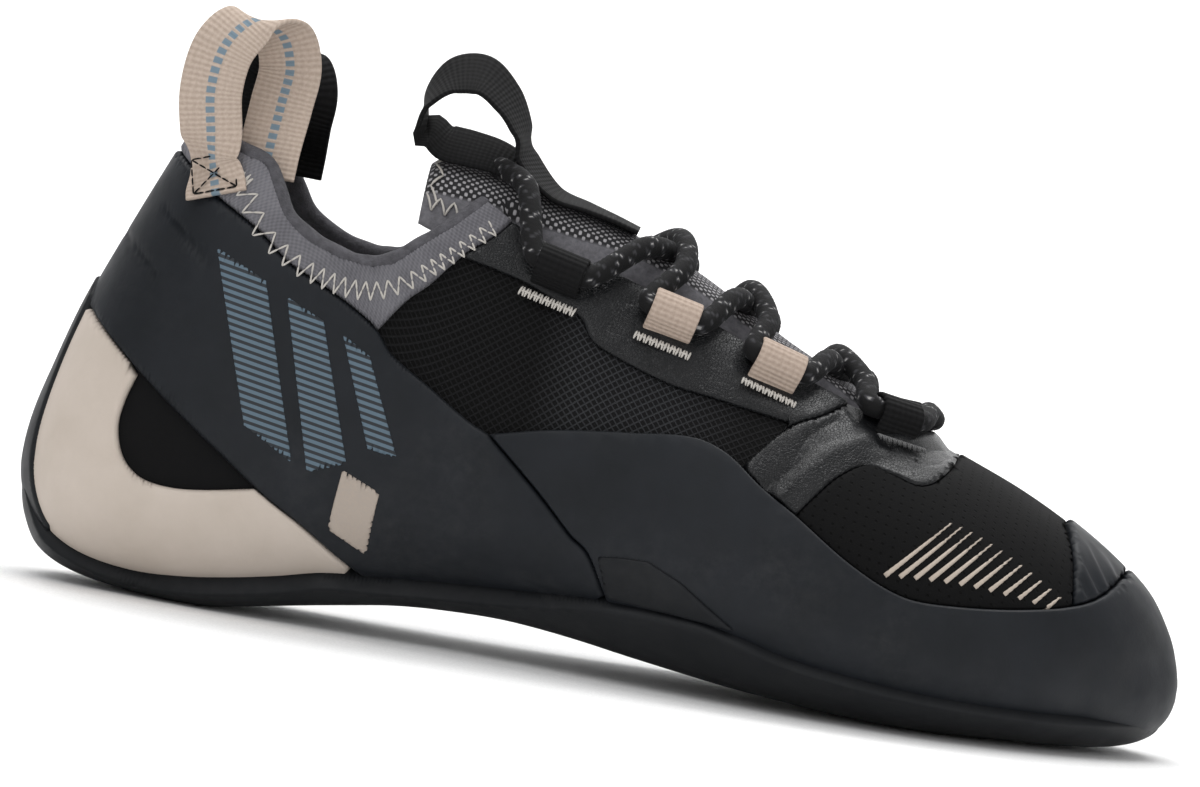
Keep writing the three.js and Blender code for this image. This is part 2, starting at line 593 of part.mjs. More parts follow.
const TONGUE_STEPS = 16;
const tongueRows = [];
const tongueUnder = [];
for (let i = 0; i <= TONGUE_STEPS; i += 1) {
  const at = 0.3 + (0.445 * i) / TONGUE_STEPS;
  tongueRows.push(TONGUE_SHARES.map((share) => tongueTop(at, share)));
  tongueUnder.push(TONGUE_SHARES.map((share) => {
    const thickness = TONGUE_THICKNESS * (1 - 0.45 * share * share);
    return tongueTop(at, share).add(new THREE.Vector3(0, -0.15 * share * thickness, -thickness));
  }));
}
const aboveCollar = sideBlock(collarOutline.map(([x, z]) => [x, z + GAP]));
const sideAllowance = grown(OUTSIDE + BAND_THICKNESS + GAP).subtract(clearInner).subtract(aboveCollar);
const largest = (solid) => solid.decompose().reduce((a, b) => (b.volume() > a.volume() ? b : a));
const tonguePad = slab(tongueRows, tongueUnder);
const tongueSolid = largest(tonguePad.subtract(sideAllowance.subtract(throatBlock(-GAP))));

// A strap along a path, with the direction of its width at each point
function strap(path, width, thickness, steps) {
  const centres = new THREE.CatmullRomCurve3(path.map((p) => p.at));
  const acrosses = new THREE.CatmullRomCurve3(path.map((p) => p.across));
  const top = [];
  const bottom = [];
  for (let i = 0; i <= steps; i += 1) {
    const t = i / steps;
    const centre = centres.getPoint(t);
    const across = acrosses.getPoint(t).normalize();
    const face = centres.getTangent(t).cross(across).normalize();
    const edge = (side, up) => centre.clone()
      .addScaledVector(across, (side * width) / 2)
      .addScaledVector(face, (up * thickness) / 2);
    top.push([edge(-1, 1), edge(1, 1)]);
    bottom.push([edge(-1, -1), edge(1, -1)]);
  }
  return slab(top, bottom);
}
const vector = (x, y, z) => new THREE.Vector3(x, y, z);

// Half the last's width at a place and height above its widest line
function halfWidthAt(x, z, side) {
  const section = sectionAt(x / LENGTH + BEHIND);
  const edge = side < 0 ? section.lateral : section.medial;
  const rise = Math.min((z - section.mid) / (section.high - section.mid), 0.995);
  return Math.abs(edge) * (1 - rise ** section.crown) ** (1 / section.crown);
}

// Heel pull loops. fore is a share of HEEL_LOOP_WIDTH from the loop's foot and up a share of
// HEEL_LOOP_HEIGHT above it. Where wall is 1 the strap lies on the collar's outside, where it is -1
// on its inside, and between them out is a share of BALL_WIDTH from the middle.
const HEEL_LOOP = [
  { fore: 0.14, up: 0, wall: 1, out: 0, tip: -0.4 },
  { fore: 0, up: 0.19, wall: 1, out: 0, tip: -0.25 },
  { fore: -0.11, up: 0.38, wall: 0, out: 0.25, tip: -0.1 },
  { fore: -0.21, up: 0.65, wall: 0, out: 0.265, tip: 0 },
  { fore: -0.1, up: 0.92, wall: 0, out: 0.25, tip: 0 },
  { fore: 0.26, up: 1.08, wall: 0, out: 0.2, tip: 0 },
  { fore: 0.7, up: 1.03, wall: 0, out: 0.14, tip: 0 },
  { fore: 0.89, up: 0.84, wall: 0, out: 0.11, tip: 0 },
  { fore: 0.86, up: 0.6, wall: 0, out: 0.13, tip: 0 },
  { fore: 0.82, up: 0.34, wall: -1, out: 0, tip: -0.1 },
  { fore: 0.8, up: 0.15, wall: -1, out: 0, tip: -0.1 },
];
const HEEL_LOOP_FOOT = { at: 0.12, up: 0.953 };
const ON_WALL = OUTSIDE + BAND_THICKNESS + 2 * GAP + WEBBING_THICKNESS;
const IN_WALL = WALL + 3 * GAP + WEBBING_THICKNESS;
function heelLoop(side, tall, shift) {
  const footX = alongX(HEEL_LOOP_FOOT.at) + shift;
  const footZ = HEEL_LOOP_FOOT.up * heightAt(HEEL_LOOP_FOOT.at);
  const path = HEEL_LOOP.map((row) => {
    const x = footX + row.fore * HEEL_LOOP_WIDTH;
    const z = footZ + row.up * HEEL_LOOP_HEIGHT * (row.up > 0.3 ? tall : 1);
    const step = 0.3 * HEEL_LOOP_WIDTH;
    const lean = (halfWidthAt(x + step, z, side) - halfWidthAt(x - step, z, side)) / (2 * step);
    const onWall = halfWidthAt(x, z, side) + (row.wall > 0 ? ON_WALL : -IN_WALL);
    const y = row.wall === 0 ? row.out * BALL_WIDTH : onWall;
    return {
      at: vector(x, side * y, z),
      across: vector(1, row.wall === 0 ? 0 : side * lean, row.tip),
    };
  });
  return largest(strap(path, HEEL_LOOP_WIDTH, WEBBING_THICKNESS, 22).subtract(sideAllowance));
}

// Tongue loop and the strip that runs on down the tongue
const onTongue = GAP + WEBBING_THICKNESS / 2;
const stripAt = (at) => tongueTop(at, 0).add(vector(0, 0, onTongue));
const loopCentre = alongX(0.33);
const loopFoot = 1.1 * heightAt(0.33);
const ringPoint = (fore, up) => vector(loopCentre + fore * TONGUE_LOOP_WIDTH, 0, loopFoot + up * TONGUE_LOOP_HEIGHT);
const TONGUE_RING = [
  { fore: 0.92, up: 0.3, rise: 0.3 }, { fore: 0.76, up: 0.52, rise: 0.4 }, { fore: 0.46, up: 0.78, rise: 0.5 },
  { fore: 0.02, up: 1.0, rise: 0.5 }, { fore: -0.42, up: 0.93, rise: 0.5 }, { fore: -0.72, up: 0.62, rise: 0.45 },
  { fore: -0.68, up: 0.3, rise: 0.35 },
];
const tonguePath = [
  { at: stripAt(0.485), across: vector(0, 1, 0) },
  { at: stripAt(0.45), across: vector(0, 1, 0.04) },
  { at: stripAt(0.41), across: vector(0, 1, 0.14) },
  ...TONGUE_RING.map((row) => ({ at: ringPoint(row.fore, row.up), across: vector(0, 1, row.rise) })),
  { at: stripAt(0.308), across: vector(0, 1, 0.25) },
  { at: stripAt(0.322), across: vector(0, 1, 0.25) },
];
const underStrip = slab(
  tongueRows.map((row) => row.map((p) => p.clone().add(vector(0, 0, GAP)))),
  tongueUnder,
);
const tongueLoopSolid = largest(
  strap(tonguePath, TONGUE_LOOP_WIDTH, WEBBING_THICKNESS, 30).subtract(underStrip),
);

// Lacing: each row has a webbing loop on both sides of the throat, and the lace lies in them
const LACE_ROWS = [0.43, 0.53, 0.623, 0.727];
const LACE_CREST = [0.525, 0.594, 0.678];
const laceRadius = LACE_DIAMETER / 2;
const loopBase = OUTSIDE + EYESTAY_THICKNESS + GAP;
const laceDepth = loopBase + GAP + laceRadius;
const beside = (at, side) => sectionAt(at).ridge + side * (throatHalf(at) + 0.6 * LACE_DIAMETER);
function laceSeat(row, side, shift = 0) {
  const at = LACE_ROWS[row] + shift / LENGTH;
  return overLast(at, beside(at, side), laceDepth);
}
const loopFloor = grown(loopBase);
function loopPlace(row, side) {
  const seat = laceSeat(row, side);
  const ahead = laceSeat(row, side, 3).point.sub(laceSeat(row, side, -3).point).normalize();
  const normal = seat.normal.clone().addScaledVector(ahead, -seat.normal.dot(ahead)).normalize();
  const outward = normal.clone().cross(ahead);
  const down = outward.y * side > 0 ? outward : outward.negate();
  const origin = seat.point.clone().addScaledVector(normal, -GAP - laceRadius);
  return new THREE.Matrix4().makeBasis(down, normal, down.clone().cross(normal)).setPosition(origin);
}
const extrudedLoop = (shape, width) => new THREE.ExtrudeGeometry(shape, {
  depth: width,
  bevelEnabled: false,
  curveSegments: 4,
}).translate(0, 0, -width / 2);
function laceLoop(row, side) {
  const inside = laceRadius + GAP;
  const outside = inside + WEBBING_THICKNESS;
  const tail = 2 * outside;
  const centre = GAP + laceRadius;
  const shape = new THREE.Shape();
  shape.moveTo(tail, 0);
  shape.lineTo(tail, WEBBING_THICKNESS);
  shape.lineTo(outside, WEBBING_THICKNESS);
  shape.lineTo(outside, centre);
  shape.absarc(0, centre, outside, 0, Math.PI, false);
  shape.lineTo(-outside, 0);
  shape.lineTo(-inside, 0);
  shape.lineTo(-inside, centre);
  shape.absarc(0, centre, inside, Math.PI, 0, true);
  shape.lineTo(inside, 0);
  const extruded = extrudedLoop(shape, LACE_LOOP_WIDTH);
  extruded.applyMatrix4(loopPlace(row, side));
  return largest(solidOf(extruded).subtract(loopFloor));
}
// The room that a loop takes, which the crossings stay out of
function loopRoom(row, side) {
  const outside = laceRadius + 2 * GAP + WEBBING_THICKNESS;
  const shape = new THREE.Shape();
  shape.moveTo(2.3 * outside, -1);
  shape.lineTo(2.3 * outside, outside);
  shape.lineTo(outside, 2 * outside);
  shape.lineTo(-outside, 2 * outside);
  shape.lineTo(-outside, -1);
  const room = extrudedLoop(shape, LACE_LOOP_WIDTH + 2 * GAP);
  room.applyMatrix4(loopPlace(row, side));
  return solidOf(room);
}
function laceTube(points) {
  const curve = new THREE.CatmullRomCurve3(points);
  const steps = Math.max(4, Math.round(curve.getLength() / 6));
  const section = new THREE.Shape();
  section.absarc(0, 0, laceRadius, 0, 2 * Math.PI, false);
  const tube = new THREE.ExtrudeGeometry(section, { extrudePath: curve, steps, curveSegments: 4, bevelEnabled: false });
  return solidOf(tube);
}
const CLEAR_OF_LOOP = LACE_LOOP_WIDTH / 2 + GAP;
const aboveTongue = GAP + laceRadius;
const crestAt = (at, lift) => tongueTop(at, 0).add(vector(0, 0, aboveTongue + lift));
const shoulderAt = (at, side, share) => overLast(
  at,
  sectionAt(at).ridge + side * throatHalf(at) * share,
  laceDepth + 0.6,
).point;
function strand(fromRow, fromSide, crest, toRow, toSide) {
  const ahead = Math.sign(toRow - fromRow);
  const start = laceSeat(fromRow, fromSide, ahead * CLEAR_OF_LOOP).point;
  const finish = laceSeat(toRow, toSide, -ahead * CLEAR_OF_LOOP).point;
  return laceTube([
    start,
    shoulderAt((LACE_ROWS[fromRow] + 2 * crest) / 3, fromSide, 0.62),
    crestAt(crest, 1),
    shoulderAt((LACE_ROWS[toRow] + 4 * crest) / 5, toSide, 0.62),
    finish,
  ]);
}
const loopRooms = LACE_ROWS.map((at, row) => loopRoom(row, -1).add(loopRoom(row, 1)));
const crossing = (row) => largest(
  strand(row, -1, LACE_CREST[row], row + 1, 1)
    .add(strand(row, 1, LACE_CREST[row], row + 1, -1))
    .subtract(loopRooms[row])
    .subtract(loopRooms[row + 1]),
);
function bar(row, crest, ahead) {
  const end = (side) => laceSeat(row, side, ahead * CLEAR_OF_LOOP).point;
  const shoulder = (side) => shoulderAt((crest * 2 + LACE_ROWS[row]) / 3, side, 0.6);
  const tube = laceTube([end(-1), shoulder(-1), crestAt(crest, 0.5), shoulder(1), end(1)]);
  return largest(tube.subtract(loopRooms[row]));
}

function meshOf(name, solid, colour, roughness) {
  const { vertProperties, triVerts } = solid.getMesh();
  const geometry = new THREE.BufferGeometry();
  geometry.setAttribute('position', new THREE.BufferAttribute(new Float32Array(vertProperties), 3));
  geometry.setIndex(new THREE.BufferAttribute(new Uint32Array(triVerts), 1));
  geometry.computeVertexNormals();
  const material = new THREE.MeshStandardMaterial({ color: colour, roughness, metalness: 0 });
  const mesh = new THREE.Mesh(geometry, material);
  mesh.name = name;
  return mesh;
}

const RUBBER = { colour: '#3a3b3f', roughness: 0.6 };
const PALE_RUBBER = { colour: '#cfc5bd', roughness: 0.6 };
const FABRIC = { colour: '#1b1b1a', roughness: 0.9 };
const SOFT = { colour: '#75737a', roughness: 0.9 };
const SMOOTH = { colour: '#47474b', roughness: 0.5 };
const PALE_WEBBING = { colour: '#cbbaac', roughness: 0.8 };
const DARK_WEBBING = { colour: '#262628', roughness: 0.8 };
const group = new THREE.Group();
const add = (name, solid, finish) => group.add(meshOf(name, solid, finish.colour, finish.roughness));

add('upper', upperSolid, FABRIC);
add('outsole', outsoleSolid, RUBBER);
add('insole', insoleSolid, SOFT);
add('tongue', tongueSolid, SOFT);
add('collar_cuff', cuffSolid, SOFT);
add('heel_band', bandSolid, RUBBER);
add('heel_cup_lateral', cupShell.intersect(lateralHalf), PALE_RUBBER);
add('heel_cup_medial', cupShell.intersect(medialHalf), PALE_RUBBER);
add('rand', randSolid, RUBBER);
add('toe_patch', patchSolid, RUBBER);
add('vamp_wrap', wrapSolid, SMOOTH);
add('eyestay_lateral', eyestayShell.intersect(lateralHalf), SMOOTH);
add('eyestay_medial', eyestayShell.intersect(medialHalf), SMOOTH);
add('heel_loop_lateral', heelLoop(-1, 1, 0), PALE_WEBBING);
add('heel_loop_medial', heelLoop(1, 0.8, 3), DARK_WEBBING);
add('tongue_loop', tongueLoopSolid, DARK_WEBBING);
LACE_ROWS.forEach((at, row) => {
  const finish = row === 1 || row === 2 ? PALE_WEBBING : DARK_WEBBING;
  add(`lace_loop_lateral_${row + 1}`, laceLoop(row, -1), finish);
  add(`lace_loop_medial_${row + 1}`, laceLoop(row, 1), finish);
});
LACE_CREST.forEach((at, row) => add(`lace_cross_${row + 1}`, crossing(row), DARK_WEBBING));
add('lace_top_bar', bar(0, 0.36, -1), DARK_WEBBING);
add('lace_bottom_bar', bar(3, 0.765, 1), DARK_WEBBING);
export default group;
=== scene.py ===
"""A laced climbing shoe for the right foot: the visible pieces, built around the packed frame."""
import math
import random

import bmesh
import bpy
import numpy as np
from mathutils import Matrix, Vector
from mathutils.geometry import delaunay_2d_cdt
from mathutils.kdtree import KDTree


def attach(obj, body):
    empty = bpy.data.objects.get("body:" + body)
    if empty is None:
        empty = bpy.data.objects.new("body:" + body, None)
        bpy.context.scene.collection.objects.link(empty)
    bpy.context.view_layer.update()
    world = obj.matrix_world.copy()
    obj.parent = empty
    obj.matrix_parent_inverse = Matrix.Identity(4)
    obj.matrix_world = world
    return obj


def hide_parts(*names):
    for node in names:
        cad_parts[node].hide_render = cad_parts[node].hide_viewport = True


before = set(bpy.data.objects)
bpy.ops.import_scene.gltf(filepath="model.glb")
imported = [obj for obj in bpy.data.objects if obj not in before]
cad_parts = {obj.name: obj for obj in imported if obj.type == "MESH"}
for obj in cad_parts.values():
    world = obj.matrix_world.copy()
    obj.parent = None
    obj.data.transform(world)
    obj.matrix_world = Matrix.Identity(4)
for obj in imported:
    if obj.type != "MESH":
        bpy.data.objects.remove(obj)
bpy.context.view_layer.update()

bl_info = {
    "name": "Climbing shoe",
    "version": (1, 0, 0),
    "blender": (4, 5, 0),
    "location": "View3D > Sidebar > Shoe",
    "description": "Builds the pieces and materials of a laced climbing shoe",
    "category": "Add Mesh",
}

# ---------------------------------------------------------------------------------------------
# The last: sizes in millimetres, tables in shares of them, as in the part's source
# ---------------------------------------------------------------------------------------------
MM = 0.001
LENGTH, WIDTH, HEIGHT = 258.0, 86.0, 96.0
BEHIND = 0.128
LATERAL, MEDIAL = -1, 1
SIDES = (LATERAL, MEDIAL)
SIDE_WORDS = {LATERAL: "lateral", MEDIAL: "medial"}

WALL = 2.0
LIFT = 0.3  # clearance between an overlay and what it lies on
SOLE_SIDE, SOLE_BELOW = 2.3, 4.6
RAND_THICK, BAND_THICK, CUP_THICK, CUFF_THICK = 1.9, 1.7, 1.6, 1.5
PATCH_THICK, WRAP_THICK, EYESTAY_THICK = 1.5, 1.0, 1.0
TONGUE_THICK, TONGUE_WIDTH = 4.0, 41.0
THROAT_WIDTH, THROAT_END = 30.0, 0.762
WEBBING_THICK = 1.2
LACE_DIAMETER, LACE_LOOP_WIDTH = 5.0, 11.0
HEEL_LOOP_WIDTH, HEEL_LOOP_HEIGHT = 14.0, 36.0
TONGUE_LOOP_WIDTH, TONGUE_LOOP_HEIGHT = 16.0, 21.0
STRIP_WIDTH = 24.0

LAST_COLUMNS = ("at", "low", "mid", "high", "lateral", "medial", "ridge", "base", "crown")
LAST = (
    (0, 0.27, 0.27, 0.27, 0, 0, 0, 2, 1.8),
    (0.012, 0.156, 0.276, 0.464, 0.14, 0.14, 0, 2, 1.8),
    (0.03, 0.096, 0.281, 0.635, 0.227, 0.227, 0, 2.1, 1.75),
    (0.055, 0.066, 0.281, 0.812, 0.29, 0.29, 0, 2.2, 1.75),
    (0.09, 0.051, 0.281, 1.04, 0.326, 0.328, 0, 2.3, 1.75),
    (0.13, 0.045, 0.281, 1.29, 0.343, 0.347, 0, 2.4, 1.75),
    (0.17, 0.047, 0.286, 1.385, 0.349, 0.352, 0, 2.4, 1.8),
    (0.21, 0.066, 0.292, 1.406, 0.349, 0.349, 0, 2.4, 1.8),
    (0.25, 0.086, 0.302, 1.344, 0.349, 0.341, 0, 2.3, 1.8),
    (0.29, 0.106, 0.312, 1.22, 0.352, 0.33, -0.005, 2.3, 1.85),
    (0.33, 0.123, 0.328, 1.13, 0.36, 0.323, -0.01, 2.2, 1.9),
    (0.37, 0.132, 0.344, 1.083, 0.37, 0.32, -0.015, 2.2, 1.9),
    (0.43, 0.135, 0.354, 1.04, 0.392, 0.326, -0.015, 2.2, 1.85),
    (0.49, 0.123, 0.344, 0.998, 0.422, 0.343, -0.01, 2.3, 1.8),
    (0.55, 0.103, 0.318, 0.93, 0.456, 0.376, 0, 2.4, 1.78),
    (0.61, 0.085, 0.286, 0.846, 0.486, 0.41, 0.015, 2.5, 1.8),
    (0.67, 0.068, 0.26, 0.762, 0.505, 0.448, 0.035, 2.6, 1.9),
    (0.73, 0.053, 0.24, 0.69, 0.506, 0.48, 0.06, 2.7, 2),
    (0.79, 0.045, 0.227, 0.625, 0.477, 0.494, 0.095, 2.8, 2.1),
    (0.85, 0.046, 0.217, 0.562, 0.398, 0.488, 0.12, 2.8, 2.15),
    (0.9, 0.049, 0.206, 0.495, 0.29, 0.457, 0.145, 2.7, 2.2),
    (0.94, 0.055, 0.198, 0.427, 0.163, 0.41, 0.165, 2.6, 2.2),
    (0.97, 0.069, 0.193, 0.36, 0.035, 0.35, 0.178, 2.4, 2.2),
    (0.988, 0.097, 0.188, 0.29, -0.07, 0.29, 0.184, 2.2, 2.1),
    (1, 0.188, 0.188, 0.188, -0.186, 0.186, 0.186, 2, 2),
)

# Seam lines as seen from the side: (share of LENGTH from the heel, share of HEIGHT)
SOLE_EDGE = (
    (-0.02, 0.34), (0, 0.25), (0.02, 0.165), (0.04, 0.118), (0.07, 0.088), (0.11, 0.076),
    (0.15, 0.083), (0.19, 0.1), (0.23, 0.122), (0.27, 0.148), (0.31, 0.16), (0.36, 0.172),
    (0.44, 0.188), (0.52, 0.203), (0.6, 0.196), (0.64, 0.177), (0.68, 0.152), (0.73, 0.135),
    (0.8, 0.119), (0.9, 0.109), (1.02, 0.104),
)
# Where the rand and the band end, under the sole
UNDER_SOLE = tuple((at, up - 0.03) for at, up in SOLE_EDGE)
BAND_LOW = (
    (-0.02, 0.76), (0.035, 0.635), (0.09, 0.518), (0.13, 0.44), (0.17, 0.367), (0.21, 0.295),
    (0.25, 0.237), (0.29, 0.172), (0.305, 0.15),
)
BAND_HIGH = (
    (0.05, 1.06), (0.083, 1.03), (0.1, 1.005), (0.127, 0.951), (0.17, 0.887), (0.2, 0.827),
    (0.23, 0.791), (0.26, 0.751), (0.285, 0.708), (0.3, 0.662), (0.34, 0.598), (0.375, 0.542),
    (0.395, 0.519),
)
BAND_TO_RAND = ((0.395, 0.519), (0.448, 0.403), (0.48, 0.326), (0.498, 0.292), (0.519, 0.203))
RAND_TOP = (
    (0.395, 0.519), (0.45, 0.554), (0.52, 0.579), (0.57, 0.59), (0.6, 0.566), (0.635, 0.503),
    (0.665, 0.458), (0.72, 0.369), (0.765, 0.319), (0.8, 0.312), (0.87, 0.325), (0.92, 0.352),
    (0.945, 0.401), (0.957, 0.458), (0.965, 0.56),
)
COLLAR = (
    (0.05, 1.105), (0.09, 1.094), (0.15, 1.055), (0.168, 1.037), (0.18, 0.984), (0.19, 0.937),
    (0.205, 0.904), (0.225, 0.877), (0.26, 0.855), (0.285, 0.867), (0.31, 0.92), (0.335, 0.977),
    (0.355, 1.031), (0.37, 1.072), (0.385, 1.116),
)
CUFF_FRONT = (
    (0.285, 0.708), (0.305, 0.785), (0.322, 0.83), (0.344, 0.903), (0.369, 0.961), (0.389, 1.025),
    (0.41, 1.1),
)
EYESTAY_LOW = (
    (0.344, 0.903), (0.4, 0.87), (0.438, 0.83), (0.455, 0.81), (0.466, 0.77), (0.48, 0.748),
    (0.539, 0.698), (0.581, 0.682), (0.645, 0.655),
)
WRAP_BACK = ((0.614, 0.546), (0.647, 0.646), (0.676, 0.685), (0.7, 0.74), (0.71, 0.9))
TOE_FABRIC_BACK = (
    (0.666, 0.456), (0.681, 0.51), (0.696, 0.556), (0.718, 0.59), (0.74, 0.576), (0.767, 0.56),
    (0.785, 0.59), (0.8, 0.7),
)
TOE_PATCH_BACK = (
    (0.845, 0.7), (0.853, 0.59), (0.875, 0.556), (0.889, 0.516), (0.901, 0.46), (0.907, 0.39),
    (0.909, 0.346),
)
CUP_WINDOW = (
    (0.088, 0.514), (0.081, 0.45), (0.079, 0.39), (0.087, 0.325), (0.104, 0.285), (0.13, 0.273),
    (0.16, 0.28), (0.204, 0.3035),
)
# Half widths: of the throat by share of LENGTH, of the heel strip by share of HEIGHT
THROAT = (
    (0.33, 0.34), (0.4, 0.46), (0.5, 0.53), (0.6, 0.53), (0.67, 0.5), (0.71, 0.44), (0.735, 0.34),
    (0.75, 0.22), (0.759, 0.1), (0.762, 0),
)
STRIP = ((0.05, 1.35), (0.16, 1.2), (0.3, 1), (0.45, 0.84), (0.6, 0.7), (0.66, 0.6), (0.69, 0.35))
# Tongue: share of LENGTH, height of its top, half width as a share of TONGUE_WIDTH, roll in degrees
TONGUE = (
    (0.3, 1.112, 0.36, 14), (0.315, 1.108, 0.37, 14), (0.34, 1.1, 0.38, 13),
    (0.37, 1.088, 0.42, 11), (0.42, 1.055, 0.46, 6), (0.48, 1.014, 0.5, 0), (0.54, 0.953, 0.5, 0),
    (0.6, 0.87, 0.5, 0), (0.66, 0.786, 0.46, 0), (0.71, 0.724, 0.42, 0), (0.745, 0.68, 0.35, 0),
)
# Heel loops: forward, up, wall (1 outside, -1 inside, 0 free), distance out, tip of the width
HEEL_LOOP = (
    (0.14, 0, 1, 0, -0.4), (0, 0.19, 1, 0, -0.25), (-0.11, 0.38, 0, 0.25, -0.1),
    (-0.21, 0.65, 0, 0.265, 0), (-0.1, 0.92, 0, 0.25, 0), (0.26, 1.08, 0, 0.2, 0),
    (0.7, 1.03, 0, 0.14, 0), (0.89, 0.84, 0, 0.11, 0), (0.86, 0.6, 0, 0.13, 0),
    (0.82, 0.34, -1, 0, -0.1), (0.8, 0.15, -1, 0, -0.1),
)
# Tongue loop's ring: forward and up in loop sizes, lean of its width
TONGUE_RING = (
    (0.8, 0.24, 0.35), (0.68, 0.5, 0.45), (0.42, 0.79, 0.55), (0.02, 1.0, 0.6), (-0.4, 0.93, 0.6),
    (-0.68, 0.62, 0.5), (-0.66, 0.3, 0.4),
)
# Shares of LENGTH: the rows of lace loops, and where the lace crosses the ridge
LACE_ROWS = (0.43, 0.53, 0.623, 0.727)
LACE_CREST = (0.525, 0.594, 0.678)
TOP_BAR_CREST, BOTTOM_BAR_CREST = 0.36, 0.765


def along_x(at):
    return (at - BEHIND) * LENGTH


def curve(keys, values):
    """A smooth curve through (key, value) pairs, as a function of arrays."""
    keys, values = np.array(keys, float), np.array(values, float)
    count = len(keys)
    before = np.maximum(np.arange(count) - 1, 0)
    after = np.minimum(np.arange(count) + 1, count - 1)
    slopes = (values[after] - values[before]) / (keys[after] - keys[before])

    def value_at(key):
        key = np.asarray(key, float)
        i = np.searchsorted(keys[1:-1], key, side="left")
        span = keys[i + 1] - keys[i]
        t = np.clip((key - keys[i]) / span, 0, 1)
        u = 1 - t
        kept = values[i] * (1 + 2 * t) * u * u + values[i + 1] * t * t * (3 - 2 * t)
        return kept + span * t * u * (slopes[i] * u - slopes[i + 1] * t)

    return value_at


def half_turn(at):
    return np.arccos(1 - 2 * np.clip(at, 0, 1)) / math.pi


SECTION_CURVES = {
    name: curve(half_turn([row[0] for row in LAST]), [row[i] for row in LAST])
    for i, name in enumerate(LAST_COLUMNS)
}
SECTION_UNITS = dict(
    low=HEIGHT, mid=HEIGHT, high=HEIGHT, lateral=-WIDTH, medial=WIDTH, ridge=WIDTH,
    base=1, crown=1,
)


def section(at):
    """The upright section of the last at a share of its length."""
    angle = half_turn(at)
    return {name: SECTION_CURVES[name](angle) * unit for name, unit in SECTION_UNITS.items()}


def last_point(at, v):
    """Points of the last. v runs from 0 at the ridge to 0.5 below, positive on the medial side."""
    at = np.asarray(at, float)
    turn = np.mod(-np.asarray(v, float), 1)
    s = section(at)
    angle = turn * 2 * math.pi
    up = np.cos(angle)
    power = 2 / np.where(up > 0, s["crown"], s["base"])
    out = np.abs(np.sin(angle)) ** power
    rise = np.abs(up) ** power
    middle = np.where(up > 0, s["ridge"], (s["lateral"] + s["medial"]) / 2)
    edge = np.where(turn < 0.5, s["lateral"], s["medial"])
    end = np.where(up > 0, s["high"], s["low"])
    x = along_x(np.clip(at, 0, 1)) + 0 * turn
    return np.stack([x, middle + (edge - middle) * out, s["mid"] + (end - s["mid"]) * rise], -1)


NUDGE, FINE_NUDGE = 0.002, 0.0005  # steps in at and v for slopes of the last


def unit(vectors):
    vectors = np.asarray(vectors, float)
    return vectors / np.maximum(np.linalg.norm(vectors, axis=-1, keepdims=True), 1e-9)


def last_normal(at, v):
    at, v = np.broadcast_arrays(np.asarray(at, float), np.asarray(v, float))
    near, far = np.maximum(at - NUDGE, 0.0005), np.minimum(at + NUDGE, 0.9995)
    along = last_point(far, v) - last_point(near, v)
    around = last_point(at, v + NUDGE) - last_point(at, v - NUDGE)
    normal = unit(np.cross(along, around))
    normal[at <= 0.0004] = (-1, 0, 0)
    normal[at >= 0.9996] = (1, 0, 0)
    return normal


def place(at, v, depth):
    """Points at a depth over the last."""
    return last_point(at, v) + last_normal(at, v) * np.asarray(depth, float)[..., None]


def spot_v(at, z, side):
    """v of the point of the last at a height on one side."""
    s = section(at)
    rise = np.clip((z - s["mid"]) / (s["high"] - s["mid"] + 1e-9), 0, 1)
    drop = np.clip((s["mid"] - z) / (s["mid"] - s["low"] + 1e-9), 0, 1)
    above = np.arccos(np.clip(rise ** (s["crown"] / 2), 0, 1)) / (2 * math.pi)
    below = 0.5 - np.arccos(np.clip(drop ** (s["base"] / 2), 0, 1)) / (2 * math.pi)
    return side * np.where(z >= s["mid"], above, below)


def across_v(at, y):
    """v of the point of the last's top half at a distance across."""
    s = section(at)
    edge = np.where(y < s["ridge"], s["lateral"], s["medial"])
    out = np.clip((y - s["ridge"]) / (edge - s["ridge"] + 1e-9), 0, 1)
    turn = np.arcsin(np.clip(out ** (s["crown"] / 2), 0, 1)) / (2 * math.pi)
    return np.where(y < s["ridge"], -turn, turn)


def throat_half(at):
    rows = np.array(THROAT)
    return np.interp(at, rows[:, 0], rows[:, 1]) * THROAT_WIDTH


def throat_v(at, side):
    return across_v(at, section(at)["ridge"] + side * throat_half(at))


def throat_z(at, side):
    return last_point(at, throat_v(at, side))[..., 2]


# The domain (at, v) stretched so that a step in it is at most about that many millimetres
FLAT_V = 250.0
AT_STEPS = (1 - np.cos(math.pi * np.linspace(0, 1, 600))) / 2


def strides():
    """The longest way over the last between each two neighbours of AT_STEPS."""
    ring = np.linspace(-0.5, 0.5, 33)
    rows = np.array([last_point(np.full(len(ring), at), ring) for at in AT_STEPS])
    return np.linalg.norm(np.diff(rows, axis=0), axis=2).max(axis=1)


FLAT_STEPS = np.concatenate([[0], np.cumsum(strides())])
GIRTH_ROWS, GIRTH_COLUMNS = 119, 100  # steps of the grid that measures the girth


def flat_of(at, v):
    return np.stack([np.interp(at, AT_STEPS, FLAT_STEPS), np.asarray(v) * FLAT_V], -1)


def domain_of(flat):
    return np.interp(flat[:, 0], FLAT_STEPS, AT_STEPS), flat[:, 1] / FLAT_V


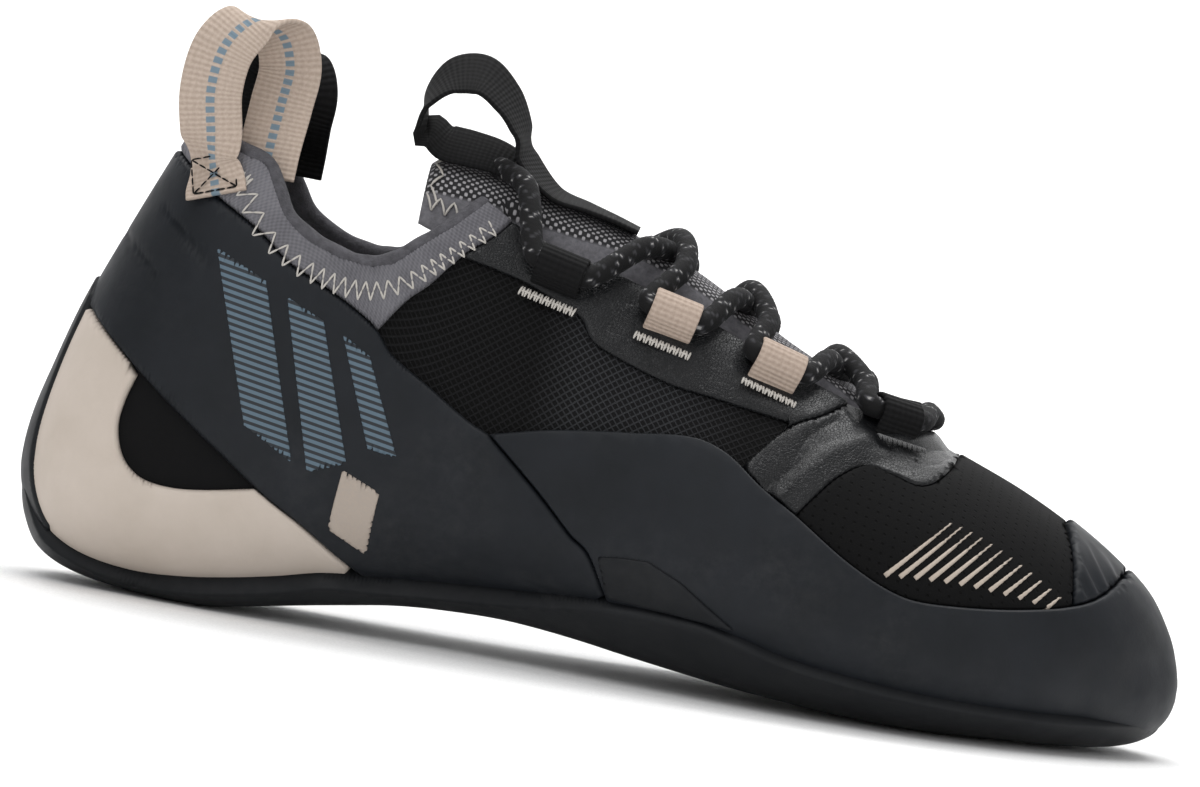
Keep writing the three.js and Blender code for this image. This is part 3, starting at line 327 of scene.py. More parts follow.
def girth_of(at, v):
    """Millimetres along the section from the ridge, for patterns."""
    grid_at, grid_v = np.linspace(0, 1, GIRTH_ROWS + 1), np.linspace(-0.5, 0.5, GIRTH_COLUMNS + 1)
    rows = np.array([last_point(np.full(len(grid_v), a), grid_v) for a in grid_at])
    steps = np.linalg.norm(np.diff(rows, axis=1), axis=2)
    length = np.concatenate([np.zeros((len(rows), 1)), np.cumsum(steps, axis=1)], axis=1)
    length -= length[:, GIRTH_COLUMNS // 2][:, None]
    row, column = np.clip(at, 0, 1) * GIRTH_ROWS, np.mod(v + 0.5, 1) * GIRTH_COLUMNS
    i = np.minimum(row.astype(int), GIRTH_ROWS - 1)
    j = np.minimum(column.astype(int), GIRTH_COLUMNS - 1)
    p, q = row - i, column - j
    low = length[i, j] * (1 - q) + length[i, j + 1] * q
    high = length[i + 1, j] * (1 - q) + length[i + 1, j + 1] * q
    return low * (1 - p) + high * p


# ---------------------------------------------------------------------------------------------
# Lines on the last
# ---------------------------------------------------------------------------------------------
LINE_STEP = 0.9  # millimetres between the points of a line
SAME_POINT = 1e-4
TEST_BATCH = 4000  # points tested at a time


def line(rows, start=None, end=None):
    """Points (at, height) of a seam line between two shares of the length."""
    rows = np.array(rows)
    start = rows[0, 0] if start is None else start
    end = rows[-1, 0] if end is None else end
    height = curve(rows[:, 0], rows[:, 1])
    dense = np.linspace(start, end, 240)
    ups = height(dense) * HEIGHT
    reach = np.concatenate([[0], np.cumsum(np.hypot(np.diff(dense) * LENGTH, np.diff(ups)))])
    count = max(int(reach[-1] / LINE_STEP), 2)
    at = np.interp(np.linspace(0, reach[-1], count + 1), reach, dense)
    return np.stack([at, height(at) * HEIGHT], -1)


def part(points, low, high):
    """The points of a shared line between two shares of the length."""
    return points[(points[:, 0] >= low) & (points[:, 0] <= high)]


# Seams that two pieces share are drawn once, so that their edges meet
BAND_BACK = line(BAND_HIGH, 0.2, 0.05)
BAND_SIDE = line(BAND_HIGH, 0.2, 0.395)
BAND_FOOT = line(BAND_LOW, 0.298, -0.02)
BAND_SEAM = line(BAND_TO_RAND, 0.397, 0.518)
RAND_SIDE = line(RAND_TOP, 0.395, 0.8)
RAND_FRONT = line(RAND_TOP, 0.8, 0.965)
COLLAR_BACK = line(COLLAR, 0.2, 0.05)
COLLAR_SIDE = line(COLLAR, 0.2, 0.385)


def cut(points, limit):
    """The leading part of a line that stays under a height limit, up to where it crosses it."""
    room = limit(points[:, 0]) - points[:, 1]
    over = np.nonzero(room <= 0)[0]
    if len(over) == 0:
        return points
    i = over[0]
    if i == 0:
        return points[:1]
    share = room[i - 1] / (room[i - 1] - room[i])
    return np.vstack([points[:i], points[i - 1] + (points[i] - points[i - 1]) * share])


def ridge_z(at):
    return section(at)["high"]


def bottom_cut(points):
    """The leading part of a line that stays above the last's underside."""
    flipped = points * (1, -1)
    return cut(flipped, lambda at: -section(at)["low"]) * (1, -1)


def on_side(points, side):
    """(at, height) to (at, v)."""
    return np.stack([points[:, 0], spot_v(points[:, 0], points[:, 1], side)], -1)


def to_ridge(points, side):
    """A line that ends at the ridge, on one side."""
    path = on_side(cut(points, ridge_z), side)
    path[-1, 1] = 0
    return path


def throat_cut(points, side):
    """The leading part of a line that stays outside the throat."""
    return cut(points, lambda at: throat_z(at, side))


def throat_line(start, end, side):
    count = max(int(abs(end - start) * LENGTH / LINE_STEP), 2)
    at = np.linspace(start, end, count + 1)
    return np.stack([at, throat_v(at, side)], -1)


def joined(*parts):
    """One line from several, without repeated points."""
    points = np.vstack(parts)
    keep = [0]
    for i in range(1, len(points)):
        if np.abs(points[i] - points[keep[-1]]).max() > SAME_POINT:
            keep.append(i)
    return points[keep]


def closed(points):
    """A closed line without a last point that repeats its first."""
    return points[:-1] if np.abs(points[0] - points[-1]).max() < SAME_POINT else points


def pairs(at, v):
    """Rows of (at, v) from two arrays, or from an array and a number."""
    return np.stack(np.broadcast_arrays(at, v), -1).astype(float)


def mirrored(half):
    """A closed line from its lateral half, which starts and ends on the ridge."""
    other = half[::-1] * (1, -1)
    return joined(half, other[1:-1])


def inside(points, loops):
    """Even-odd test of flat points against closed loops."""
    result = np.zeros(len(points), bool)
    for loop in loops:
        x0, y0 = loop[:, 0], loop[:, 1]
        x1, y1 = np.roll(x0, -1), np.roll(y0, -1)
        for start in range(0, len(points), TEST_BATCH):
            batch = slice(start, start + TEST_BATCH)
            px, py = points[batch, 0:1], points[batch, 1:2]
            spans = (y0 > py) != (y1 > py)
            with np.errstate(divide="ignore", invalid="ignore"):
                cross = px < (x1 - x0) * (py - y0) / (y1 - y0) + x0
            result[batch] ^= (np.sum(spans & cross, axis=1) % 2).astype(bool)
    return result


def distance_to(points, loops, reals):
    """Distance in space from points to the real parts of closed loops of points."""
    starts, ends = [], []
    for loop, real in zip(loops, reals):
        starts.append(loop[real])
        ends.append(np.roll(loop, -1, axis=0)[real])
    starts, ends = np.vstack(starts), np.vstack(ends)
    middles = (starts + ends) / 2
    tree = KDTree(len(middles))
    for i, p in enumerate(middles):
        tree.insert(p, i)
    tree.balance()
    near = np.array([[hit[1] for hit in tree.find_n(p, 3)] for p in points])
    best = np.full(len(points), 1e9)
    for k in range(near.shape[1]):
        a, b = starts[near[:, k]], ends[near[:, k]]
        along = b - a
        t = np.sum((points - a) * along, 1) / np.maximum(np.sum(along * along, 1), 1e-12)
        foot = a + along * np.clip(t, 0, 1)[:, None]
        best = np.minimum(best, np.linalg.norm(points - foot, axis=1))
    return best


def step_in(loop, normals, distance, sign):
    """A closed (at, v) loop moved inwards over the surface by a distance."""
    at, v = loop[:, 0], loop[:, 1]
    points = last_point(at, v)
    tangent = unit(np.roll(points, -1, axis=0) - np.roll(points, 1, axis=0))
    inward = np.cross(normals, tangent) * sign * distance
    low, high = np.maximum(at - FINE_NUDGE, 0), np.minimum(at + FINE_NUDGE, 1)
    du = (last_point(high, v) - last_point(low, v)) / (high - low)[:, None]
    dv = (last_point(at, v + FINE_NUDGE) - last_point(at, v - FINE_NUDGE)) / (2 * FINE_NUDGE)
    a, b, c = np.sum(du * du, 1), np.sum(du * dv, 1), np.sum(dv * dv, 1)
    p, q = np.sum(du * inward, 1), np.sum(dv * inward, 1)
    det = np.maximum(a * c - b * b, 1e-6)
    return loop + np.stack([(c * p - b * q) / det, (a * q - b * p) / det], -1)


# ---------------------------------------------------------------------------------------------
# Mesh makers
# ---------------------------------------------------------------------------------------------
def new_object(name, points, faces, uv, materials, sheets=None, clean=True):
    """A smooth mesh from points in millimetres, with its pattern coordinates in millimetres.

    sheets gives each face's place in the tuple of materials, where there are several.
    """
    mesh = bpy.data.meshes.new(name)
    mesh.from_pydata((np.asarray(points) * MM).tolist(), [], [list(map(int, f)) for f in faces])
    corner = np.zeros(len(mesh.loops), np.int32)
    mesh.loops.foreach_get("vertex_index", corner)
    layer = mesh.uv_layers.new(name="Millimetres")
    layer.data.foreach_set("uv", np.asarray(uv, np.float32)[corner].ravel())
    for item in materials if isinstance(materials, tuple) else (materials,):
        mesh.materials.append(item)
    if sheets is not None:
        mesh.polygons.foreach_set("material_index", np.asarray(sheets, np.int32))
    if clean:
        work = bmesh.new()
        work.from_mesh(mesh)
        bmesh.ops.remove_doubles(work, verts=work.verts, dist=2e-6)
        bmesh.ops.dissolve_degenerate(work, edges=work.edges, dist=1e-6)
        bmesh.ops.recalc_face_normals(work, faces=work.faces)
        work.to_mesh(mesh)
        work.free()
    mesh.polygons.foreach_set("use_smooth", [True] * len(mesh.polygons))
    mesh.update()
    piece = bpy.data.objects.new(name + "_look", mesh)
    bpy.context.scene.collection.objects.link(piece)
    return piece


def declare(piece, slot, *nodes):
    """The piece rides on the shoe's body, takes its finish from a slot and stands for CAD nodes."""
    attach(piece, "root")
    if nodes:
        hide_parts(*nodes)
    return piece


RIM_SHARES = (0.1, 0.32, 0.62, 1.0)  # rows of points along an edge, in rim widths
ON_EDGE = 0.02  # millimetres


def rim_rows(loops, flats, spaces, reals, rim):
    """Flat points in rows along the real edges, where the rim rounds off."""
    rows = []
    for loop, flat, real in zip(loops, flats, reals):
        shifted = np.roll(flat, -1, axis=0)
        area = np.sum(flat[:, 0] * shifted[:, 1] - shifted[:, 0] * flat[:, 1])
        sign = np.sign(area) * (1 if loop is loops[0] else -1)
        normals = last_normal(loop[:, 0], loop[:, 1])
        usable = real & np.roll(real, 1)
        for share in RIM_SHARES:
            ring = step_in(loop, normals, rim * share, sign)[usable]
            ring[:, 0] = np.clip(ring[:, 0], 0, 1)
            ring_flat = flat_of(ring[:, 0], ring[:, 1])
            keep = inside(ring_flat, flats)
            ring, ring_flat = ring[keep], ring_flat[keep]
            if len(ring):
                away = distance_to(last_point(ring[:, 0], ring[:, 1]), spaces, reals)
                rows.append(ring_flat[away > 0.85 * rim * share])
    return rows


def inner_grid(flats, spaces, rim, spacing):
    """Flat points in a triangular grid, clear of all edges."""
    low, high = np.vstack(flats).min(0), np.vstack(flats).max(0)
    rows = []
    for k, y in enumerate(np.arange(low[1] + spacing / 2, high[1], spacing * 0.87)):
        xs = np.arange(low[0] + spacing * (0.25 + 0.5 * (k % 2)), high[0], spacing)
        rows.append(np.stack([xs, np.full(len(xs), y)], -1))
    grid = np.vstack(rows)
    grid = grid[inside(grid, flats)]
    edges = [np.ones(len(space), bool) for space in spaces]
    away = distance_to(last_point(*domain_of(grid)), spaces, edges)
    return grid[away > max(rim * 1.25, spacing * 0.5)]


def panel(name, loops, seat, depth, rim, materials, spacing=2.0, relief=None, reals=None,
          inner=None):
    """A closed panel over the last between a seat and a depth, with a rounded rim.

    loops are closed (at, v) lines, the outline first and holes after it. reals says which of
    their segments are real edges. relief adds millimetres to the depth at (x, z, at, v). inner
    is the depth of the lower sheet away from the rim. Two materials are for the two sheets.
    """
    reals = reals or [np.ones(len(loop), bool) for loop in loops]
    flats = [flat_of(loop[:, 0], loop[:, 1]) for loop in loops]
    spaces = [last_point(loop[:, 0], loop[:, 1]) for loop in loops]
    edges, first = [], 0
    for flat in flats:
        count = len(flat)
        edges += [(first + i, first + (i + 1) % count) for i in range(count)]
        first += count
    rows = rim_rows(loops, flats, spaces, reals, rim)
    flat = np.vstack([*flats, *rows, inner_grid(flats, spaces, rim, spacing)])
    result = delaunay_2d_cdt([Vector(p) for p in flat], edges, [], 0, 1e-7)
    flat = np.array([tuple(p) for p in result[0]])
    faces = np.array([f for f in result[2] if len(f) == 3])
    faces = faces[inside(flat[faces].mean(axis=1), flats)]
    at, v = domain_of(flat)
    at = np.clip(at, 0, 1)
    base, normals = last_point(at, v), last_normal(at, v)
    away = distance_to(base, spaces, reals)
    away[away < ON_EDGE] = 0
    bulge = np.sqrt(1 - (1 - np.clip(away / rim, 0, 1)) ** 2)
    top = depth(normals) if callable(depth) else depth
    if relief is not None:
        top = top + relief(base[:, 0], base[:, 2], at, v)
    under = seat if inner is None else seat + (inner - seat) * bulge
    points = []
    for level in (seat + (top - seat) * bulge, under + 0 * bulge):
        sheet = base + normals * level[:, None]
        sheet[:, 2] = np.maximum(sheet[:, 2], 0)
        points.append(sheet)
    uv = np.stack([base[:, 0], girth_of(at, v)], -1)
    both = np.vstack([faces, faces[:, ::-1] + len(base)])
    sheets = np.repeat([0, 1], len(faces)) if isinstance(materials, tuple) else None
    return new_object(name, np.vstack(points), both, np.vstack([uv, uv]), materials, sheets)


def sweep(name, rings, uv_rings, material):
    """A closed solid through rings of points, with flat ends."""
    rings, uv_rings = np.asarray(rings, float), np.asarray(uv_rings, float)
    count, size = rings.shape[:2]
    middle, last = count * size, (count - 1) * size
    faces = []
    for a in range(0, last, size):
        b = a + size
        faces += [(a + j, a + (j + 1) % size, b + (j + 1) % size, b + j) for j in range(size)]
    for j in range(size):
        k = (j + 1) % size
        faces += [(middle, k, j), (middle + 1, last + j, last + k)]
    points, uv = (np.vstack([item.reshape(middle, -1), item[0].mean(0), item[-1].mean(0)])
                  for item in (rings, uv_rings))
    return new_object(name, points, faces, uv, material)


def rounded_rectangle(width, thick, corner=4):
    """Points of a strap's section, (across, up), with round edges."""
    radius = thick / 2
    points = []
    for centre, start in ((width / 2 - radius, -90), (-(width / 2 - radius), 90)):
        for k in range(corner * 2 + 1):
            angle = math.radians(start + 180 * k / (corner * 2))
            points.append((centre + radius * math.cos(angle), radius * math.sin(angle)))
        if centre > 0:
            points += [(width * s, radius) for s in (0.25, 0, -0.25)]
        else:
            points += [(width * s, -radius) for s in (-0.25, 0, 0.25)]
    return np.array(points)


def reach_of(points):
    """Length along a line up to each of its points."""
    return np.concatenate([[0], np.cumsum(np.linalg.norm(np.diff(points, axis=0), axis=1))])


def spline(points, spacing=None, count=None):
    """A Catmull-Rom line through points, resampled evenly."""
    points = np.asarray(points, float)
    padded = np.vstack([2 * points[0] - points[1], points, 2 * points[-1] - points[-2]])
    dense = []
    for i in range(1, len(padded) - 2):
        p0, p1, p2, p3 = padded[i - 1:i + 3]
        gaps = [max(np.linalg.norm(b - a), 1e-6) ** 0.5 for a, b in ((p0, p1), (p1, p2), (p2, p3))]
        m1 = (p2 - p1 + gaps[1] * ((p1 - p0) / gaps[0] - (p2 - p0) / (gaps[0] + gaps[1])))
        m2 = (p2 - p1 + gaps[1] * ((p3 - p2) / gaps[2] - (p3 - p1) / (gaps[1] + gaps[2])))
        t = np.linspace(0, 1, 24, endpoint=False)[:, None]
        dense.append((2 * t**3 - 3 * t**2 + 1) * p1 + (t**3 - 2 * t**2 + t) * m1
                     + (-2 * t**3 + 3 * t**2) * p2 + (t**3 - t**2) * m2)
    dense = np.vstack(dense + [points[-1:]])
    reach = reach_of(dense)
    count = count or max(int(reach[-1] / spacing), 4)
    marks = np.linspace(0, reach[-1], count + 1)
    return np.stack([np.interp(marks, reach, dense[:, k]) for k in range(points.shape[1])], -1)


def tangents(points):
    return unit(np.gradient(points, axis=0))


def strap(name, path, acrosses, width, thick, material, steps=90, waviness=0.0):
    """A flat strap along a path. acrosses are the directions of its width at the path's points."""
    together = spline(np.hstack([path, np.asarray(acrosses) * 8.0]), count=steps)
    centres, across = together[:, :3], unit(together[:, 3:])
    forward = tangents(centres)
    face = unit(np.cross(forward, across))
    across = unit(np.cross(face, forward))
    outline = rounded_rectangle(width, thick)
    # The pattern's x tells the two faces apart by a trace
    pattern = outline[:, 0] + np.sign(outline[:, 1]) * 0.001
    rings, uv_rings = [], []
    for i, reach in enumerate(reach_of(centres)):
        bow = waviness * (1 - (2 * outline[:, 0] / width) ** 2) * math.sin(reach * 0.21)
        lift = (outline[:, 1] + bow)[:, None] * face[i]
        rings.append(centres[i] + outline[:, 0:1] * across[i] + lift)
        uv_rings.append(np.stack([pattern, np.full(len(outline), reach)], -1))
    return sweep(name, rings, uv_rings, material)


STITCH_SIDES, STITCH_RINGS = 6, 5


def stitches(name, pieces, radius, material, arch=0.35):
    """Many short threads in one mesh. Each is (start, end, outward direction)."""
    points, faces, uv = [], [], []
    sides = range(STITCH_SIDES)
    for start, end, out in pieces:
        start, end, out = (np.asarray(p, float) for p in (start, end, out))
        along = unit(end - start)
        side = unit(np.cross(along, out))
        up = np.cross(side, along)
        first = len(points)
        for k in range(STITCH_RINGS):
            t = k / (STITCH_RINGS - 1)
            rise = arch * (4 * t * (1 - t)) - arch * 0.5
            size = radius * (0.55 if k in (0, STITCH_RINGS - 1) else 1)
            for j in sides:
                angle = 2 * math.pi * j / STITCH_SIDES
                points.append(start + (end - start) * t + up * rise
                              + (side * math.cos(angle) + up * math.sin(angle)) * size)
                uv.append((t * 2, j))
        last = first + (STITCH_RINGS - 1) * STITCH_SIDES
        for a in range(first, last, STITCH_SIDES):
            for j in sides:
                n = (j + 1) % STITCH_SIDES
                faces.append((a + j, a + n, a + STITCH_SIDES + n, a + STITCH_SIDES + j))
        faces.append(tuple(first + j for j in reversed(sides)))
        faces.append(tuple(last + j for j in sides))
    return new_object(name, points, faces, uv, material, clean=False)


# ---------------------------------------------------------------------------------------------
# Materials: pattern scales are millimetres of the "Millimetres" layer or metres of the object
# ---------------------------------------------------------------------------------------------
def linear(code):
    """An sRGB hex colour as linear RGBA."""
    values = [int(code[i:i + 2], 16) / 255 for i in (1, 3, 5)]
    return (*(c / 12.92 if c <= 0.04045 else ((c + 0.055) / 1.055) ** 2.4 for c in values), 1.0)


class Surface:
    """A new material, with short ways to add the nodes of its pattern."""

    def __init__(self, name):
        self.material = bpy.data.materials.new(name)
        self.material.use_nodes = True
        self.tree = self.material.node_tree
        self.place = self.node("ShaderNodeTexCoord", output=3)
        self.layer = self.node("ShaderNodeUVMap", uv_map="Millimetres")
        self.x, self.y = self.split(self.layer)[:2]

    def put(self, socket, value):
        """Links an output to a socket or sets its value. Text is a colour's hex code."""
        if isinstance(value, bpy.types.NodeSocket):
            self.tree.links.new(value, socket)
        else:
            socket.default_value = linear(value) if isinstance(value, str) else value

    def node(self, kind, inputs=None, output=0, **settings):
        """Adds a node with its settings and links, and returns the output that is asked for."""
        item = self.tree.nodes.new(kind)
        for name, value in settings.items():
            setattr(item, name, value)
        for name, value in (inputs or {}).items():
            self.put(item.inputs[name], value)
        return item.outputs[output]

    def split(self, vector):
        """The x, y and z of a vector."""
        return self.node("ShaderNodeSeparateXYZ", {0: vector}).node.outputs

    def maths(self, operation, a, b=0.0):
        return self.node("ShaderNodeMath", {0: a, 1: b}, operation=operation)

    def times(self, a, b):
        return self.maths("MULTIPLY", a, b)

    def plus(self, a, b):
        return self.maths("ADD", a, b)

    def wave(self, value, pitch, kind="SINE"):
        """A wave from -1 to 1 that repeats after a pitch."""
        return self.maths(kind, self.times(value, 2 * math.pi / pitch))

    def ramp(self, value, low, high, start=0.0, end=1.0):
        """A value mapped from one range to another, held at its ends."""
        return self.node("ShaderNodeMapRange", {
            "Value": value, "From Min": low, "From Max": high, "To Min": start, "To Max": end,
        })

    def mix(self, share, a, b):
        """A colour between two, as sockets or hex codes."""
        return self.node("ShaderNodeMix", {0: share, 6: a, 7: b}, output=2, data_type="RGBA")

    def noise(self, coordinates, scale, detail=3.0, roughness=0.5):
        return self.node("ShaderNodeTexNoise", {
            "Vector": coordinates, "Scale": scale, "Detail": detail, "Roughness": roughness,
        })

    def dust(self, amount):
        """A mask of pale chalk dust, in soft patches."""
        broad = self.ramp(self.noise(self.place, 28.0, 4.0, 0.6), 0.45, 0.75)
        fine = self.ramp(self.noise(self.place, 420.0, 3.0, 0.7), 0.35, 0.8)
        return self.times(self.times(broad, fine), amount)

    def diagonal_grid(self, pitch):
        """Two sets of slanted cords as a mask, 1 on a cord and 0 in a cell."""
        cords = []
        for sign in (1.0, -1.0):
            slant = self.plus(self.x, self.times(self.y, sign))
            cords.append(self.ramp(self.wave(slant, pitch * math.sqrt(2), "COSINE"), 0.35, 0.9))
        return self.maths("MAXIMUM", *cords)

    def finish(self, colour, roughness, height, strength, distance, **values):
        """Sets the shader and returns the material. height drives a bump in metres."""
        shader = self.tree.nodes["Principled BSDF"]
        values = {"Base Color": colour, "Roughness": roughness, "IOR": 1.5, **values}
        for name, value in values.items():
            self.put(shader.inputs[name.replace("_", " ")], value)
        bump = self.node("ShaderNodeBump", {
            "Height": height, "Strength": strength, "Distance": distance,
        })
        self.put(shader.inputs["Normal"], bump)
        return self.material

    def finish_cloth(self, colour, roughness, height, strength, distance, sheen, tint, **values):
        """As finish, with the sheen of fibres."""
        return self.finish(colour, roughness, height, strength, distance, Sheen_Weight=sheen,
                           Sheen_Tint=tint, **{"Sheen_Roughness": 0.5, **values})


def rubber_material(name, colour, pale, roughness, dusty):
    """Climbing rubber: matt, slightly mottled, with fine moulding grain and a little chalk."""
    s = Surface(name)
    tone = s.mix(s.ramp(s.noise(s.place, 60.0, 4.0, 0.6), 0.3, 0.7), colour, pale)
    tone = s.mix(s.dust(dusty), tone, "#b9b6b2")
    grain, waves = s.noise(s.place, 1400.0, 3.0, 0.6), s.noise(s.place, 45.0, 2.0, 0.5)
    height = s.plus(s.times(grain, 0.12), waves)
    rough = s.ramp(s.noise(s.place, 90.0, 3.0, 0.6), 0.3, 0.7, roughness - 0.06, roughness + 0.08)
    return s.finish(tone, rough, height, 0.35, 0.0006, Specular_IOR_Level=0.2)


def mesh_knit_material():
    """Nylon: open diagonal mesh over a dark lining on the sides, plain dark weave at the heel."""
    s = Surface("nylon_mesh")
    cord = s.diagonal_grid(1.35)
    object_x = s.split(s.place)[0]
    lighter = s.times(s.ramp(object_x, 0.076, 0.086), s.ramp(object_x, 0.125, 0.108))
    cord_tone = s.mix(lighter, "#161617", "#2e2f31")
    cell_tone = s.mix(lighter, "#040404", "#101011")
    heel = s.ramp(object_x, 0.03, 0.028)
    tone = s.mix(heel, s.mix(cord, cell_tone, cord_tone), "#0d0d0e")
    cord = s.times(cord, s.maths("SUBTRACT", 1.0, heel))
    height = s.plus(cord, s.times(s.noise(s.layer, 6.0, 2.0, 0.5), 0.25))
    return s.finish_cloth(tone, 0.8, height, 0.8, 0.0004, 0.03, "#8a8a8e",
                          Specular_IOR_Level=0.12)


def toe_fabric_material():
    """Close black microfibre with rows of pinholes."""
    s = Surface("perforated_microfibre")
    cells = [s.wave(value, 2.3, "COSINE") for value in (s.x, s.y)]
    dots = s.ramp(s.plus(*cells), 1.55, 1.8)
    weave = s.noise(s.layer, 3.2, 2.0, 0.6)
    tone = s.mix(s.ramp(weave, 0.3, 0.7), "#0a0a0a", "#101011")
    tone = s.mix(dots, tone, "#040404")
    height = s.maths("SUBTRACT", s.times(weave, 0.35), dots)
    return s.finish_cloth(tone, 0.82, height, 0.7, 0.0004, 0.02, "#77777a",
                          Specular_IOR_Level=0.1)


def fleece_material(name, colour, pale, sheen):
    """Brushed polyester knit: soft pile with clumps."""
    s = Surface(name)
    clumps, pile = s.noise(s.place, 500.0, 5.0, 0.7), s.noise(s.place, 2600.0, 3.0, 0.8)
    tone = s.mix(s.ramp(clumps, 0.3, 0.7), colour, pale)
    height = s.plus(clumps, s.times(pile, 0.6))
    return s.finish_cloth(tone, 0.95, height, 0.9, 0.0006, sheen, pale, Sheen_Roughness=0.6)


def jersey_material(name, colour, pale, pitch=1.0):
    """Fine stretch knit of small upright ribs, a little uneven."""
    s = Surface(name)
    shifted = s.plus(s.x, s.times(s.noise(s.layer, 0.5, 2.0, 0.5), 0.5))
    knit = s.times(s.plus(s.wave(shifted, pitch), s.wave(s.y, pitch * 0.8)), 0.25)
    mottle = s.plus(s.noise(s.place, 70.0, 3.0, 0.6), s.times(knit, 0.3))
    tone = s.mix(s.ramp(mottle, 0.25, 0.75), colour, pale)
    height = s.plus(knit, s.times(s.noise(s.place, 2200.0, 2.0, 0.7), 0.5))
    return s.finish_cloth(tone, 0.92, height, 0.6, 0.0003, 0.2, pale)


def facing_material():
    """Smooth synthetic facing: a slight sheen, leather-like grain and soft wrinkles."""
    s = Surface("smooth_synthetic")
    cells = s.node("ShaderNodeTexVoronoi", {"Vector": s.place, "Scale": 1500.0},
                   feature="DISTANCE_TO_EDGE")
    grain = s.ramp(cells, 0.0, 0.12)
    wrinkle, broad = s.noise(s.place, 130.0, 4.0, 0.65), s.noise(s.place, 35.0, 3.0, 0.5)
    tone = s.mix(s.ramp(wrinkle, 0.3, 0.7), "#0f1012", "#17181a")
    height = s.plus(s.times(grain, 0.1), s.plus(s.times(wrinkle, 0.6), broad))
    rough = s.ramp(wrinkle, 0.25, 0.75, 0.28, 0.42)
    return s.finish(tone, rough, height, 0.75, 0.001, Specular_IOR_Level=0.26,
                    Coat_Weight=0.06, Coat_Roughness=0.2)


def webbing_material(name, colour, pale, line_tone=None):
    """Woven polyester tape with ribs across its width, and a woven centre line on some."""
    s = Surface(name)
    weave = s.plus(s.times(s.wave(s.y, 1.15), 0.5), s.times(s.wave(s.x, 1.6), 0.18))
    uneven = s.noise(s.layer, 1.4, 3.0, 0.6)
    tone = s.mix(s.ramp(s.plus(s.times(weave, 0.35), uneven), 0.2, 0.8), colour, pale)
    if line_tone:
        middle = s.ramp(s.maths("ABSOLUTE", s.x), 1.1, 0.9)
        dashes = s.ramp(s.wave(s.y, 2.2), -0.6, -0.2)
        tone = s.mix(s.times(middle, dashes), tone, line_tone)
    height = s.plus(weave, s.times(uneven, 0.3))
    return s.finish_cloth(tone, 0.85, height, 0.45, 0.0003, 0.04, pale, Specular_IOR_Level=0.2)


def knit_patch_material():
    """Black and white knit of the tongue's middle, grey padded fabric beside it."""
    s = Surface("tongue_knit")
    shifted = s.plus(s.x, s.times(s.noise(s.layer, 0.45, 2.0, 0.5), 0.6))
    checks = s.ramp(s.times(s.wave(shifted, 1.5), s.wave(s.y, 1.9)), 0.15, 0.45)
    patch = s.times(s.ramp(s.maths("ABSOLUTE", s.x), 10.2, 9.6),
                    s.ramp(s.y, 150.0, 152.0, 1.0, 0.0))
    fuzz = s.noise(s.place, 700.0, 4.0, 0.7)
    plain = s.mix(s.ramp(fuzz, 0.3, 0.7), "#515054", "#706f74")
    tone = s.mix(patch, plain, s.mix(checks, "#1a1a1c", "#a19fa2"))
    height = s.plus(s.times(checks, patch), s.times(fuzz, 0.5))
    return s.finish_cloth(tone, 0.92, height, 0.7, 0.0004, 0.4, "#a5a3a8")


def lace_material():
    """Round braided polyester: black, with white and grey flecks carried by the mesh's tone."""
    s = Surface("braided_polyester")
    fleck = s.node("ShaderNodeAttribute", output=2, attribute_name="tone")
    tone = s.mix(s.ramp(fleck, 0.0, 0.5), "#0a0a0b", "#3c3c3f")
    tone = s.mix(s.ramp(fleck, 0.55, 1.0), tone, "#a8a6a3")
    fibre = s.noise(s.layer, 7.0, 2.0, 0.6)
    return s.finish_cloth(tone, 0.8, fibre, 0.5, 0.0002, 0.15, "#707074", Specular_IOR_Level=0.25)


def film_material():
    """Printed film of fine parallel lines on the rubber."""
    s = Surface("printed_film")
    object_x, _, object_z = s.split(s.place)
    slant = s.plus(s.times(object_z, 1000.0), s.times(object_x, 170.0))
    lines = s.ramp(s.wave(slant, 1.5), -0.25, 0.1)
    tone = s.mix(lines, "#24282d", "#546673")
    return s.finish(tone, 0.5, lines, 0.15, 0.0001, Specular_IOR_Level=0.32)


def plain_material(name, colour, roughness, **values):
    """A plain finish with fine fibre or grain."""
    s = Surface(name)
    grain = s.noise(s.place, 1800.0, 2.0, 0.6)
    tone = s.mix(s.ramp(grain, 0.2, 0.8, 0.0, 0.25), colour, "#8a8a8a")
    return s.finish(tone, roughness, grain, 0.3, 0.0002, **values)


MATERIALS = {}


def make_materials():
    MATERIALS.update(
        rubber=rubber_material("climbing_rubber", "#13161a", "#191c21", 0.5, 0.03),
        sole=rubber_material("sole_rubber", "#111316", "#16181b", 0.52, 0.02),
        pale_rubber=rubber_material("pale_rubber", "#b6aba0", "#c0b5ab", 0.6, 0.0),
        mesh=mesh_knit_material(),
        toe=toe_fabric_material(),
        lining=fleece_material("fleece_lining", "#0c0c0d", "#1b1b1d", 0.15),
        cuff=jersey_material("stretch_jersey", "#525156", "#727176"),
        binding=fleece_material("brushed_binding", "#3a393d", "#59585d", 0.3),
        facing=facing_material(),
        tongue=knit_patch_material(),
        pale_webbing=webbing_material("polyester_webbing_pale", "#a08f82", "#b8a79a"),
        heel_webbing=webbing_material("polyester_webbing_lined", "#a59588", "#bcac9f", "#71838f"),
        dark_webbing=webbing_material("polyester_webbing_dark", "#060607", "#111112"),
        lace=lace_material(),
        thread=plain_material("polyester_thread", "#bdb8b1", 0.7, Sheen_Weight=0.1),
        dark_thread=plain_material("polyester_thread_dark", "#1c1c1e", 0.7, Sheen_Weight=0.3),
        pale_stripe=plain_material("moulded_stripe", "#b3a597", 0.6),
        film=film_material(),
        badge=plain_material("badge_print", "#a3968a", 0.55),
        board=plain_material("insole_board", "#5c5a57", 0.9),
    )


